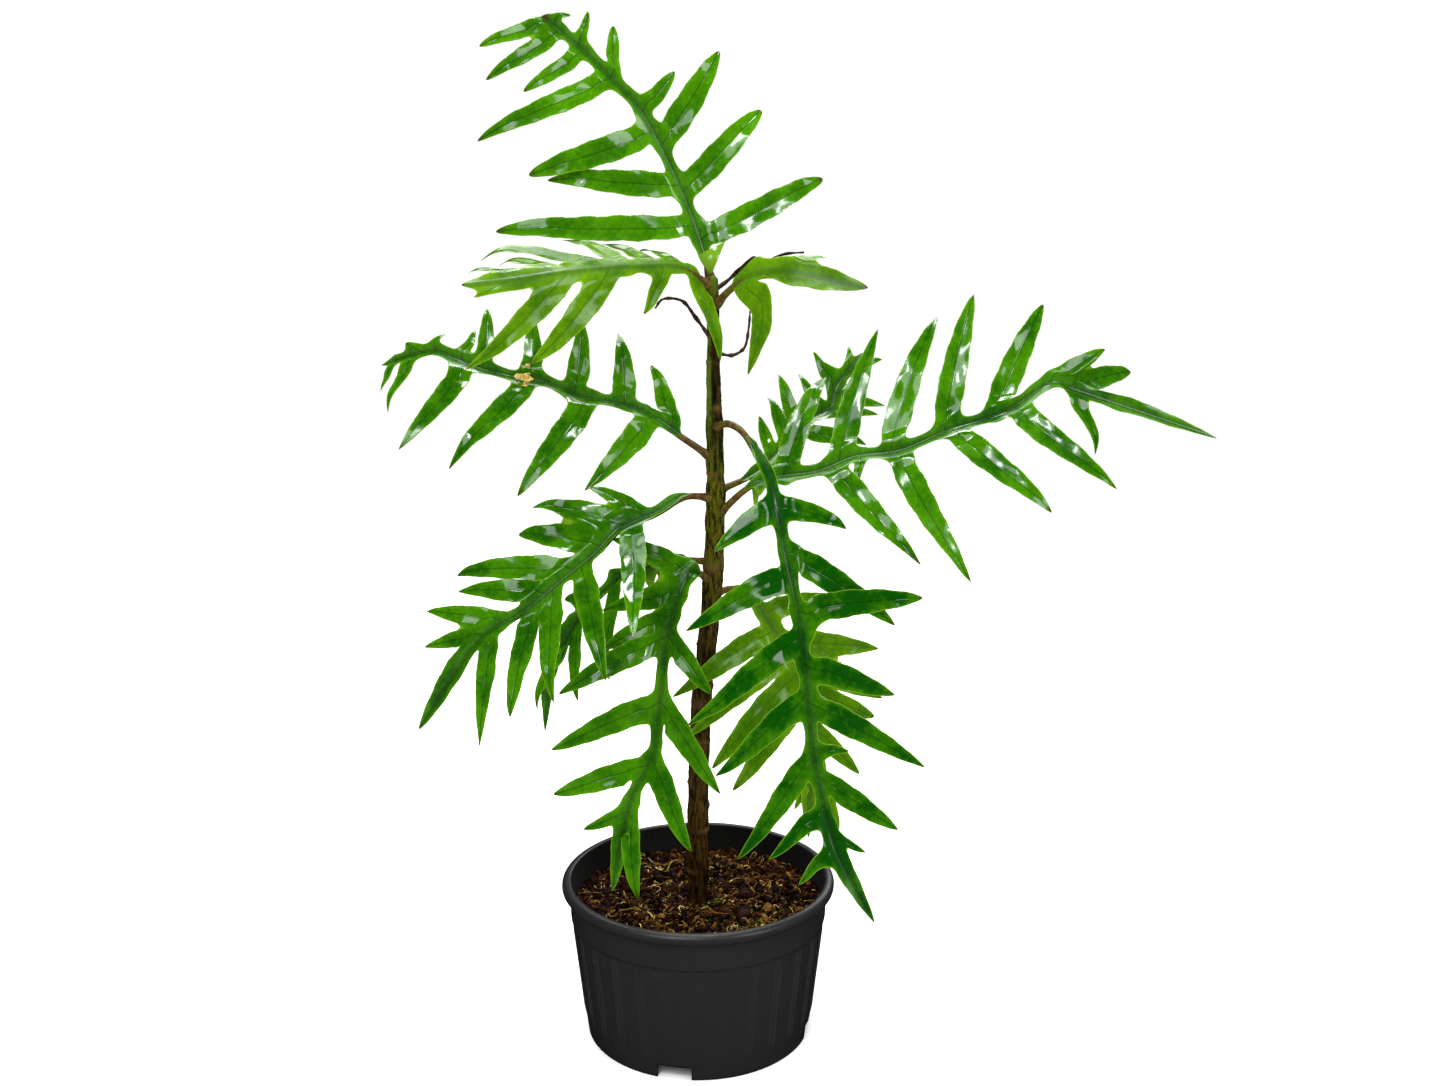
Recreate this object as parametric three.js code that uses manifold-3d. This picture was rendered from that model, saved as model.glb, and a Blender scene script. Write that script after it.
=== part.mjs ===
// A young potted shrub: a plastic nursery pot, its soil, one woody stem and glossy lobed leaves.
// Millimetres, +Z up. The origin is the middle of the pot's underside, where it stands.

import * as THREE from 'three';
import { mergeVertices } from 'three/addons/utils/BufferGeometryUtils.js';
import Module from 'manifold-3d';

const wasm = await Module();
wasm.setup();

// ---------------------------------------------------------------- driving dimensions

const clearance = 0.3; // gap kept between pieces that touch

const potHeight = 117;
const rimRadius = 100;
const lipOverhang = 5.5; // how far the rolled lip stands out past the collar
const lipHeight = 8;
const collarHeight = 21;
const collarStep = 2; // the collar stands out this far past the tapered body
const baseRadius = 82.5;
const potWall = 1.6;
const roundSides = 56; // flats around the pot and the soil
const floorLift = 10; // the floor's underside above the ground
const floorThickness = 2;
const padRadius = 14; // round foot under the middle of the floor
const notchCount = 4;
const notchWidth = 24;
const notchReach = 16; // how deep the cutter goes through the skirt
const notchTurn = -11; // degrees from the front
const drainCount = 8;
const drainRadius = 5;
const drainRing = 52; // radius of the ring of drain holes
const drainSides = 16;

const soilDrop = 19; // soil surface below the rim
const soilBump = 1.4; // height of the crumbs on the surface
const soilRings = 8; // rings of points across the surface
const soilFlatEdge = 10; // the surface flattens out over this width at the wall

const stemHeight = 453; // above the soil
const stemBuried = 55; // root crown in the soil
const stemFootRadius = 8;
const stemMidRadius = 6.2;
const stemTopRadius = 3.2;
const knotSwell = 0.8; // extra radius where a leaf leaves the stem
const knotLength = 9;
const stemWaist = 0.66; // share of the height where the taper gets steeper
const stemSides = 12;
const stemSteps = 30;

const bladeThickness = 1;
const ribThickness = 2.2; // midrib below the blade
const petioleRadius = 2.4;
const wingWidth = 6.5; // half the width of the blade between the lobes
const lobeWidth = 8; // half the width of a full lobe
const lobeSlimness = 0.1; // a short lobe's half width is at most this share of its length, plus a base
const lobeWidthBase = 1.6;
const midribSpacing = 15; // sections along a midrib, on the same 5 mm steps as its lobes
const stalkToBlade = 18; // the blade's first stretch, where it widens from the stalk
const leastHalfWidth = 0.5; // at a tip
const tipThinning = 0.6; // share of the thickness lost at a tip
const lobeSteps = 4;
const lobeBaseShare = 0.62; // a lobe's width where it leaves the midrib, as a share of its full width
const lobeWidest = 0.3; // share of a lobe's length where it is widest
const lobeTipPower = 2.4; // more keeps the lobe wide for longer
const lobeTipSharpness = 0.8;

// The leaf and stalk lists are drawn for a stem of this height, and grow or shrink with the stem.
const drawnStemHeight = 453;
const growth = stemHeight / drawnStemHeight;

const soilTop = potHeight - soilDrop;
const potFloorTop = floorLift + floorThickness;

// The buried root crown: share of its depth, and of the stem's foot radius.
const rootSteps = [[1, 0.35], [0.85, 0.75], [0.4, 1]];
const stemTopRoundness = 0.6; // the rounded top's height and radius as shares of the stem's top radius

// The stem leans and bends a little: sideways and forward shift at each share of its height.
const stemBends = [
  [0, 0, 0], [0.17, 0, 0], [0.34, 3, 0], [0.5, 10, 0],
  [0.66, 13, 0], [0.82, 12, 0], [0.92, 11.5, 0], [1, 11, 0],
];

const leafDesigns = [
  {
    name: 'leaf_top', at: 0.99, stalk: 4, end: 25, arch: 0.06, sweep: 0.05, colour: 0x3aa82a,
    face: [[0.1, -1, 0.25], [-0.1, -1, 0.45]], fold: [8, 8],
    spine: [
      [0, 0, 0], [-15, 15, 45], [-30, 20, 80], [-50, 20, 115], [-70, 20, 135],
      [-85, 20, 150], [-110, 15, 170],
    ],
    left: [
      [40, 135, 75], [70, 90, 65], [110, 90, 80], [155, 100, 70], [180, 50, 75],
      [200, 60, 70], [210, 50, 60],
    ],
    right: [
      [30, 95, 80], [65, 80, 65], [100, 75, 60], [125, 35, 75], [155, 35, 50],
      [185, 25, 70], [205, 15, 110],
    ],
  },
  {
    name: 'leaf_crown_left', at: 0.98, stalk: 20, end: 50, arch: 0.06, sweep: 0.05, colour: 0x6aa51c,
    face: [[0.1, -0.55, 0.83], [0.1, -0.65, 0.75]], fold: [-50, -15],
    spine: [
      [0, 0, 0], [-17, -13, 13], [-50, -38, 15], [-90, -64, 12], [-125, -82, 7],
      [-153, -95, 4],
    ],
    left: [
      [20, 62, 124, 25, 0.02, -0.05], [45, 36, 62], [85, 84, 42], [115, 92, 35], [155, 26, 20, 30],
    ],
    right: [
      [35, 40, 85], [55, 52, 82], [75, 60, 76], [95, 78, 42], [125, 42, 55], [150, 34, 45],
    ],
  },
  {
    name: 'leaf_crown_right', at: 0.95, stalk: 30, end: 90, arch: 0.06, sweep: 0.05, colour: 0x78ad22,
    face: [[0.0, -0.7, 0.8], [0.0, -0.8, 0.7]], fold: [12, -48],
    spine: [
      [0, 0, 0], [20, -15, 20], [50, -35, 25], [75, -45, 20], [100, -55, 15],
    ],
    left: [
      [70, 26, 45, -15],
    ],
    right: [
      [40, 68, 112, 0, 0.06, -0.45],
    ],
  },
  {
    name: 'leaf_left', at: 0.72, stalk: 35, end: 25, arch: 0.06, sweep: 0.05, colour: 0x2f8f1f,
    face: [[-0.1, -1, 0.7], [-0.2, -1, 0.7]], fold: [8, 8],
    spine: [
      [0, 0, 0], [-20, -5, 15], [-40, -10, 30], [-65, -10, 40], [-90, -15, 45],
      [-115, -15, 55], [-145, -10, 60], [-175, -10, 70], [-190, -5, 75], [-230, 5, 65],
    ],
    left: [
      [55, 75, 75], [100, 90, 65], [140, 85, 65], [185, 80, 75], [225, 45, 60],
      [240, 25, 60],
    ],
    right: [
      [40, 45, 40], [75, 55, 70], [110, 55, 75], [140, 50, 75], [175, 45, 75],
      [190, 25, 90], [210, 15, 105], [220, 15, 40],
    ],
  },
  {
    name: 'leaf_right_big', at: 0.63, stalk: 35, end: 110, arch: 0.06, sweep: 0.05, colour: 0x2a8a1e,
    face: [[0.1, -1, 0.7], [0.2, -1, 0.7]], fold: [8, 8],
    spine: [
      [0, 0, 0], [25, -10, 25], [40, -10, 30], [70, -15, 35], [95, -15, 45],
      [125, -20, 50], [160, -20, 65], [195, -15, 75], [230, -10, 95], [245, -5, 90],
      [350, 5, 55],
    ],
    left: [
      [60, 80, 65], [100, 100, 50], [135, 105, 65], [175, 100, 55], [210, 95, 45],
      [255, 50, 15], [270, 65, 35],
    ],
    right: [
      [95, 95, 75], [115, 20, 100], [140, 110, 75], [180, 90, 65], [225, 90, 75],
      [270, 50, 55],
    ],
  },
  {
    name: 'leaf_front', at: 0.77, stalk: 50, end: 70, arch: 0.06, sweep: 0.05, colour: 0x1c7a1e,
    face: [[0.2, -0.6, 1], [0.0, -1, 0.15]], fold: [8, 8],
    spine: [
      [0, 0, 0], [10, -20, 5], [20, -30, 0], [35, -55, -25], [40, -70, -45],
      [45, -75, -70], [55, -85, -115], [60, -90, -160], [65, -95, -205], [75, -105, -250],
      [80, -110, -265], [105, -120, -310],
    ],
    left: [
      [100, 50, 65], [130, 90, 45], [170, 85, 85], [205, 65, 65], [230, 90, 55],
      [260, 25, 75], [280, 65, 45], [320, 25, 50],
    ],
    right: [
      [100, 55, 60], [145, 80, 75], [185, 95, 60], [225, 80, 55], [265, 85, 45],
      [300, 50, 60], [325, 35, 60],
    ],
  },
  {
    name: 'leaf_right_back', at: 0.67, stalk: 30, end: 30, arch: 0.06, sweep: 0.05, colour: 0x4c9a26,
    face: [[0.2, -1, 0.6], [0.3, -1, 0.5]], fold: [8, 8],
    spine: [
      [0, 0, 0], [30, 35, 10], [50, 60, 25], [65, 75, 40], [85, 85, 50],
      [90, 90, 65], [110, 100, 90],
    ],
    left: [
      [65, 35, 55], [85, 40, 55], [100, 45, 55], [125, 35, 90], [145, 35, 40],
      [165, 20, 35],
    ],
    right: [
      [100, 55, 60], [130, 40, 40], [145, 40, 90], [165, 30, 30],
    ],
  },
  {
    name: 'leaf_mid_left', at: 0.66, stalk: 25, end: 95, arch: 0.06, sweep: 0.05, colour: 0x2f8f1f,
    face: [[-0.2, -0.8, 1], [-0.2, -1, 0.5]], fold: [8, 8],
    spine: [
      [0, 0, 0], [-20, -15, 5], [-40, -25, -5], [-65, -35, -15], [-80, -40, -30],
      [-105, -45, -50], [-130, -50, -70], [-155, -50, -85], [-205, -40, -155],
    ],
    left: [
      [70, 100, 65], [115, 90, 70], [140, 80, 55], [155, 80, 45], [190, 80, 60],
    ],
    right: [
      [60, 45, 60], [75, 70, 50], [95, 65, 60], [120, 90, 40], [145, 65, 45],
      [180, 60, 35], [195, 50, 30],
    ],
  },
  {
    name: 'leaf_low_left', at: 0.53, stalk: 15, end: 70, arch: 0.06, sweep: 0.05, colour: 0x2f8f1f,
    face: [[-0.2, -1, 0.4], [-0.1, -1, 0.05]], fold: [8, 8],
    spine: [
      [0, 0, 0], [-15, -20, 10], [-30, -35, -30], [-35, -45, -70], [-40, -50, -110],
      [-55, -55, -140], [-70, -55, -210],
    ],
    left: [
      [75, 50, 50], [120, 75, 40], [160, 70, 45], [200, 65, 20],
    ],
    right: [
      [30, 60, 80], [45, 55, 60], [60, 55, 50], [75, 85, 50], [120, 85, 60],
      [165, 70, 45], [200, 35, 50],
    ],
  },
  {
    name: 'leaf_behind_front', at: 0.51, stalk: 20, end: 65, arch: 0.06, sweep: 0.05, colour: 0x6aa51c,
    face: [[0.2, -1, 0.7], [0.0, -1, 0.1]], fold: [8, 8],
    spine: [
      [0, 0, 0], [20, 15, 0], [40, 15, -25], [65, 10, -65], [75, 0, -110],
      [70, -10, -150], [70, -10, -180],
    ],
    left: [
      [50, 55, 70], [75, 75, 50], [95, 70, 40], [115, 55, 50], [145, 45, 40],
      [170, 50, 30],
    ],
    right: [
      [65, 90, 95], [85, 100, 85], [100, 95, 70], [115, 90, 55], [160, 30, 40],
      [170, 35, 15],
    ],
  },
  {
    name: 'leaf_back_left', at: 0.56, stalk: 30, end: 100, arch: 0.06, sweep: 0.05, colour: 0x2f7f1f,
    face: [[-0.3, -0.7, 1], [-0.5, -1, 0.3]], fold: [8, 8],
    spine: [
      [0, 0, 0], [-35, 35, -5], [-70, 60, -25], [-105, 80, -65], [-125, 90, -105],
      [-135, 100, -160],
    ],
    left: [
      [100, 80, 75], [155, 60, 50], [165, 80, 5],
    ],
    right: [
      [125, 40, 35],
    ],
  },
];

const stalkSides = 6;
const stalkSteps = 4; // sections between two points of a route
const stalkTaper = 0.5; // a dry stalk's free end as a share of its foot

// Bare stalks near the crown: their routes start in the stem, like the leaves' midribs.
const dryStalks = [
  {
    name: 'dry_stalk_left', at: 0.9, radius: 1.5,
    route: [[0, 0, 0], [-12, -5, 17], [-21, -8, 28], [-34, -10, 29], [-39, -10, 23]],
  },
  {
    name: 'dry_stalk_right', at: 0.885, radius: 1.4,
    route: [[0, 0, 0], [13, -2, -2], [21, -4, 3], [24, -5, 16], [25, -6, 28]],
  },
  {
    name: 'dry_shoot_tip', at: 0.975, radius: 1.6,
    route: [
      [0, 0, 0], [10, 4, 7], [20, -2, 16], [27, -12, 22], [33, -18, 21],
      [37, -20, 21], [48, -26, 25], [60, -31, 26],
    ],
  },
];

function grownPath(points) {
  return points.map((point) => point.map((value) => value * growth));
}

function grownLobes(lobes) {
  return lobes.map(([station, length, ...rest]) => [station * growth, length * growth, ...rest]);
}

function grownLeaf(leaf) {
  return {
    ...leaf,
    stalk: leaf.stalk * growth,
    end: leaf.end * growth,
    spine: grownPath(leaf.spine),
    left: grownLobes(leaf.left),
    right: grownLobes(leaf.right),
  };
}

const leaves = leafDesigns.map(grownLeaf);

// A dry flake caught on the left leaf: its folds as distance across the midrib and height.
const flakeStation = 145;
const flakeLength = 11;
const flakeThickness = 0.7;
const flakeFolds = [[-8, 4], [-4, 1], [0, 3.5], [3.5, 0.8], [8, 4.5]];

// ---------------------------------------------------------------- closed solids from sections

// Joins equal rings of points into one closed body; both end rings are capped.
function loft(rings) {
  const sides = rings[0].length;
  const positions = [];
  const index = [];
  for (const ring of rings) {
    for (const point of ring) {
      positions.push(point.x, point.y, point.z);
    }
  }
  for (let i = 0; i < rings.length - 1; i += 1) {
    for (let j = 0; j < sides; j += 1) {
      const a = i * sides + j;
      const b = i * sides + (j + 1) % sides;
      index.push(a, b, b + sides, a, b + sides, a + sides);
    }
  }
  const last = (rings.length - 1) * sides;
  for (let j = 1; j < sides - 1; j += 1) {
    index.push(0, j + 1, j);
    index.push(last, last + j, last + j + 1);
  }
  const geometry = new THREE.BufferGeometry();
  geometry.setAttribute('position', new THREE.Float32BufferAttribute(positions, 3));
  geometry.setIndex(index);
  return geometry;
}

function toSolid(geometry) {
  const bare = geometry.clone();
  bare.deleteAttribute('normal');
  bare.deleteAttribute('uv');
  const merged = mergeVertices(bare, 1e-4);
  const triVerts = new Uint32Array(merged.index.array);
  const vertProperties = new Float32Array(merged.attributes.position.array);
  return new wasm.Manifold(new wasm.Mesh({ numProp: 3, vertProperties, triVerts }));
}

function toGeometry(solid) {
  const mesh = solid.getMesh();
  const geometry = new THREE.BufferGeometry();
  geometry.setAttribute('position', new THREE.Float32BufferAttribute(mesh.vertProperties, 3));
  geometry.setIndex(Array.from(mesh.triVerts));
  return geometry;
}

// ---------------------------------------------------------------- stem

function stemCentre(share) {
  const path = new THREE.CatmullRomCurve3(
    stemBends.map(([at, x, y]) => new THREE.Vector3(x, y, at * stemHeight)),
  );
  const heights = stemBends.map(([at]) => at);
  const last = heights.length - 1;
  let span = 0;
  while (span < last - 1 && share > heights[span + 1]) {
    span += 1;
  }
  const along = (share - heights[span]) / (heights[span + 1] - heights[span]);
  const point = path.getPoint((span + along) / last);
  return new THREE.Vector3(point.x, point.y, soilTop + share * stemHeight);
}

function stemRadius(share) {
  const taper = share < stemWaist
    ? THREE.MathUtils.lerp(stemFootRadius, stemMidRadius, share / stemWaist)
    : THREE.MathUtils.lerp(stemMidRadius, stemTopRadius, (share - stemWaist) / (1 - stemWaist));
  let swell = 0;
  for (const leaf of leaves) {
    const distance = (share - leaf.at) * stemHeight / knotLength;
    swell = Math.max(swell, knotSwell * Math.exp(-distance * distance));
  }
  return taper + swell;
}

function stemRing(centre, radius) {
  const ring = [];
  for (let i = 0; i < stemSides; i += 1) {
    const turn = 2 * Math.PI * i / stemSides;
    ring.push(new THREE.Vector3(
      centre.x + radius * Math.cos(turn),
      centre.y + radius * Math.sin(turn),
      centre.z,
    ));
  }
  return ring;
}

// The stem with its radius grown by a margin; a margin of 0 gives the stem itself.
function stemGeometry(margin) {
  const foot = stemCentre(0);
  const rings = [];
  for (const [depth, share] of rootSteps) {
    const centre = foot.clone().setZ(soilTop - depth * stemBuried - (depth === 1 ? margin : 0));
    rings.push(stemRing(centre, share * stemFootRadius + margin));
  }
  for (let i = 0; i <= stemSteps; i += 1) {
    rings.push(stemRing(stemCentre(i / stemSteps), stemRadius(i / stemSteps) + margin));
  }
  const top = stemCentre(1);
  const cap = top.clone().setZ(top.z + stemTopRoundness * stemTopRadius + margin);
  rings.push(stemRing(cap, stemTopRoundness * stemTopRadius + margin));
  return loft(rings);
}

// ---------------------------------------------------------------- pot and soil

function bodyRadius(z) {
  const collarRadius = rimRadius - lipOverhang;
  const collarFoot = potHeight - lipHeight - collarHeight;
  const topRadius = collarRadius - collarStep;
  return THREE.MathUtils.lerp(baseRadius, topRadius, z / collarFoot);
}

function innerRadius(z) {
  return bodyRadius(z) - potWall;
}

function potGeometry() {
  const collarTop = potHeight - lipHeight;
  const collarFoot = collarTop - collarHeight;
  const collarRadius = rimRadius - lipOverhang;
  const lipRound = lipHeight / 3;
  const inside = innerRadius(collarTop);
  const profile = [
    [0, 0], [padRadius, 0], [padRadius, floorLift],
    [baseRadius - potWall, floorLift], [baseRadius - potWall, 0], [baseRadius, 0],
    [bodyRadius(collarFoot), collarFoot], [collarRadius, collarFoot + collarStep / 2],
    [collarRadius, collarTop], [rimRadius - lipRound / 2, collarTop],
    [rimRadius, collarTop + lipRound], [rimRadius, potHeight - lipRound],
    [rimRadius - lipRound, potHeight], [inside + lipRound / 2, potHeight],
    [inside, potHeight - lipRound / 2], [inside, collarTop],
    [innerRadius(potFloorTop), potFloorTop], [0, potFloorTop],
  ];
  const lathe = new THREE.LatheGeometry(profile.map(([r, z]) => new THREE.Vector2(r, z)), roundSides);
  lathe.rotateX(Math.PI / 2);
  let pot = toSolid(lathe);
  for (let i = 0; i < notchCount; i += 1) {
    const turn = THREE.MathUtils.degToRad(notchTurn - 90 + 360 * i / notchCount);
    const notch = new THREE.BoxGeometry(notchReach, notchWidth, 2 * floorLift);
    notch.translate(baseRadius, 0, 0);
    notch.rotateZ(turn);
    pot = pot.subtract(toSolid(notch));
  }
  for (let i = 0; i < drainCount; i += 1) {
    const turn = THREE.MathUtils.degToRad(notchTurn + 360 * (i + 0.5) / drainCount);
    const hole = new THREE.CylinderGeometry(drainRadius, drainRadius, 4 * floorThickness, drainSides);
    hole.rotateX(Math.PI / 2);
    hole.translate(drainRing * Math.cos(turn), drainRing * Math.sin(turn), floorLift + floorThickness / 2);
    pot = pot.subtract(toSolid(hole));
  }
  return toGeometry(pot);
}

function soilGeometry() {
  const bottom = potFloorTop + clearance;
  const edge = innerRadius(soilTop) - clearance;
  const profile = [[0, bottom], [innerRadius(bottom) - clearance, bottom], [edge, soilTop]];
  for (let i = soilRings - 1; i >= 0; i -= 1) {
    profile.push([edge * i / soilRings, soilTop]);
  }
  const lathe = new THREE.LatheGeometry(profile.map(([r, z]) => new THREE.Vector2(r, z)), roundSides);
  lathe.rotateX(Math.PI / 2);
  const position = lathe.attributes.position;
  for (let i = 0; i < position.count; i += 1) {
    const x = position.getX(i);
    const y = position.getY(i);
    const inset = Math.min(1, Math.max(0, (edge - Math.hypot(x, y)) / soilFlatEdge));
    const crumbs = Math.sin(0.31 * x + 0.7) * Math.sin(0.27 * y) + Math.sin(0.13 * (x - y));
    if (position.getZ(i) > soilTop - clearance) {
      position.setZ(i, soilTop + 0.5 * soilBump * inset * crumbs);
    }
  }
  return toGeometry(toSolid(lathe).subtract(toSolid(stemGeometry(clearance))));
}

// ---------------------------------------------------------------- leaves

// A leaf's own directions at a station on its midrib: along it, out of its face, and to its right.
function leafFrame(leaf, midrib, station) {
  const share = Math.min(1, station / midrib.getLength());
  const along = midrib.getTangentAt(share);
  const [first, last] = leaf.face.map((hint) => new THREE.Vector3(...hint).normalize());
  const face = first.lerp(last, share);
  face.addScaledVector(along, -face.dot(along)).normalize();
  const right = new THREE.Vector3().crossVectors(along, face);
  return { at: midrib.getPointAt(share), along, face, right };
}

// One flat-edged section: two sharp margins, a low ridge above and a deeper one below.
function leafSection(centre, right, face, halfWidth, above, below) {
  return [
    centre.clone().addScaledVector(right, halfWidth),
    centre.clone().addScaledVector(face, -below),
    centre.clone().addScaledVector(right, -halfWidth),
    centre.clone().addScaledVector(face, above),
  ];
}

// A long leaf tip: it widens to its widest place, then narrows slowly and closes fast at the end.
function lobeProfile(share) {
  const out = Math.min(1, share / lobeWidest);
  const rise = lobeBaseShare + (1 - lobeBaseShare) * Math.sin(out * Math.PI / 2);
  const past = Math.max(0, (share - lobeWidest) / (1 - lobeWidest));
  return rise * (1 - past ** lobeTipPower) ** lobeTipSharpness;
}

function lobeHalfWidth(length) {
  return Math.min(lobeWidth, lobeWidthBase + lobeSlimness * length);
}

// The half of the blade on one side of the midrib, turned about the midrib by its fold.
function halfFrame(leaf, midrib, station, side, extraFold) {
  const { at, along, face, right } = leafFrame(leaf, midrib, station);
  const fold = THREE.MathUtils.degToRad(leaf.fold[side < 0 ? 0 : 1] + extraFold);
  const outward = right.clone().multiplyScalar(side * Math.cos(fold));
  outward.addScaledVector(face, Math.sin(fold));
  const normal = face.clone().multiplyScalar(Math.cos(fold));
  normal.addScaledVector(right, -side * Math.sin(fold));
  return { at, along, outward, normal };
}

// The middle line of a lobe: it leaves the midrib at an angle and arches over to its tip.
function lobeCurve(frame, length, angle, arch, sweep) {
  const turn = THREE.MathUtils.degToRad(angle);
  const reach = frame.along.clone().multiplyScalar(length * Math.cos(turn));
  reach.addScaledVector(frame.outward, length * Math.sin(turn));
  const tip = frame.at.clone().add(reach);
  const bend = frame.at.clone().addScaledVector(reach, 0.5);
  bend.addScaledVector(frame.normal, arch * length);
  bend.addScaledVector(frame.along, -sweep * length);
  return new THREE.QuadraticBezierCurve3(frame.at, bend, tip);
}

function lobeSolid(leaf, midrib, side, lobe) {
  const [station, length, angle, extraFold = 0, arch = leaf.arch, sweep = leaf.sweep] = lobe;
  const frame = halfFrame(leaf, midrib, station, side, extraFold);
  const curve = lobeCurve(frame, length, angle, arch, sweep);
  const rings = [];
  for (let i = 0; i <= lobeSteps; i += 1) {
    const share = i / lobeSteps;
    const direction = curve.getTangent(share);
    const right = new THREE.Vector3().crossVectors(direction, frame.normal).normalize();
    const face = new THREE.Vector3().crossVectors(right, direction);
    const halfWidth = Math.max(leastHalfWidth, lobeHalfWidth(length) * lobeProfile(share));
    const thickness = bladeThickness * (1 - tipThinning * share) / 2;
    rings.push(leafSection(curve.getPoint(share), right, face, halfWidth, thickness, thickness));
  }
  return toSolid(loft(rings));
}

// Where the midrib has a section: at every lobe, and evenly between.
function midribStations(leaf, midribLength) {
  const stations = new Set([...leaf.left, ...leaf.right].map(([station]) => station));
  for (let station = 0; station < midribLength; station += midribSpacing) {
    stations.add(station);
  }
  const sorted = [...stations].filter((station) => station < midribLength - 2);
  sorted.sort((a, b) => a - b);
  return [...sorted, midribLength];
}

// The stalk and the blade along the midrib, out to the leaf's end.
function midribSolid(leaf, midrib) {
  const midribLength = midrib.getLength();
  const rings = [];
  for (const station of midribStations(leaf, midribLength)) {
    const { at, face, right } = leafFrame(leaf, midrib, station);
    const bladeIn = THREE.MathUtils.smoothstep(station, leaf.stalk, leaf.stalk + stalkToBlade);
    const endShare = Math.max(0, 1 - (midribLength - station) / leaf.end);
    const endWidth = lobeHalfWidth(leaf.end) * lobeProfile(endShare);
    const wing = endShare > 0 ? Math.max(endWidth, wingWidth * (1 - 3 * endShare)) : wingWidth;
    const halfWidth = Math.max(leastHalfWidth, THREE.MathUtils.lerp(petioleRadius, wing, bladeIn));
    const above = THREE.MathUtils.lerp(petioleRadius, bladeThickness / 2, bladeIn);
    const rib = THREE.MathUtils.lerp(ribThickness, bladeThickness / 2, station / midribLength);
    const below = THREE.MathUtils.lerp(petioleRadius, rib, bladeIn);
    const thin = 1 - tipThinning * endShare;
    rings.push(leafSection(at, right, face, halfWidth, above * thin, below * thin));
  }
  return toSolid(loft(rings));
}

function leafMidrib(leaf) {
  const root = stemCentre(leaf.at);
  return new THREE.CatmullRomCurve3(
    leaf.spine.map(([x, y, z]) => new THREE.Vector3(root.x + x, root.y + y, root.z + z)),
  );
}

function leafGeometry(leaf, stemAndGap) {
  const midrib = leafMidrib(leaf);
  let solid = midribSolid(leaf, midrib);
  for (const lobe of leaf.left) {
    solid = solid.add(lobeSolid(leaf, midrib, -1, lobe));
  }
  for (const lobe of leaf.right) {
    solid = solid.add(lobeSolid(leaf, midrib, 1, lobe));
  }
  return toGeometry(solid.subtract(stemAndGap));
}

// ---------------------------------------------------------------- dry stalks and a flake

// A thin round stalk along a list of points from the stem, tapering to its free end.
function stalkSolid(stalk) {
  const root = stemCentre(stalk.at);
  const path = new THREE.CatmullRomCurve3(
    grownPath(stalk.route).map(([x, y, z]) => new THREE.Vector3(root.x + x, root.y + y, root.z + z)),
  );
  const steps = stalkSteps * (stalk.route.length - 1);
  const frames = path.computeFrenetFrames(steps, false);
  const rings = [];
  for (let i = 0; i <= steps; i += 1) {
    const radius = THREE.MathUtils.lerp(stalk.radius, stalkTaper * stalk.radius, i / steps);
    const ring = [];
    for (let j = 0; j < stalkSides; j += 1) {
      const turn = 2 * Math.PI * j / stalkSides;
      const point = path.getPointAt(i / steps);
      point.addScaledVector(frames.normals[i], radius * Math.cos(turn));
      point.addScaledVector(frames.binormals[i], radius * Math.sin(turn));
      ring.push(point);
    }
    rings.push(ring);
  }
  return toSolid(loft(rings));
}

// A dry folded flake of bark that lies across a leaf's midrib.
function flakeGeometry(leaf) {
  const midrib = leafMidrib(leaf);
  const rings = [];
  for (const [across, height] of flakeFolds) {
    const ring = [];
    for (const [end, top] of [[-1, -1], [1, -1], [1, 1], [-1, 1]]) {
      const { at, along, face, right } = leafFrame(leaf, midrib, flakeStation * growth);
      at.addScaledVector(right, across);
      at.addScaledVector(along, end * flakeLength / 2);
      at.addScaledVector(face, bladeThickness / 2 + clearance + height + (top + 1) * flakeThickness / 2);
      ring.push(at);
    }
    rings.push(ring);
  }
  return loft(rings);
}

// ---------------------------------------------------------------- the assembly

function named(name, geometry, colour, roughness) {
  const material = new THREE.MeshStandardMaterial({ color: colour, roughness, metalness: 0 });
  const mesh = new THREE.Mesh(geometry, material);
  mesh.name = name;
  return mesh;
}

const group = new THREE.Group();
group.add(named('pot', potGeometry(), 0x1c1d1e, 0.45));
group.add(named('soil', soilGeometry(), 0x3b2314, 0.95));
group.add(named('stem', stemGeometry(0), 0x3a2a1a, 0.8));
const stemAndGap = toSolid(stemGeometry(clearance));
for (const leaf of leaves) {
  group.add(named(leaf.name, leafGeometry(leaf, stemAndGap), leaf.colour, 0.25));
}
for (const stalk of dryStalks) {
  const geometry = toGeometry(stalkSolid(stalk).subtract(stemAndGap));
  group.add(named(stalk.name, geometry, 0x4a3320, 0.8));
}
const flakeLeaf = leaves.find((leaf) => leaf.name === 'leaf_left');
group.add(named('dry_flake', flakeGeometry(flakeLeaf), 0xc08a2a, 0.6));

export default group;
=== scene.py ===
# %% [markdown]
# # A potted shrub with lobed leaves
# The frame holds a pot, its soil, one woody stem, eleven leaves and four dry scraps. Each one
# gets its real surface here. The frame's solids give every place and size, and they stay hidden
# under the finished pieces. Lengths below are millimetres, turned to metres as a mesh is made.

# %% Load the frame
import math

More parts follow.
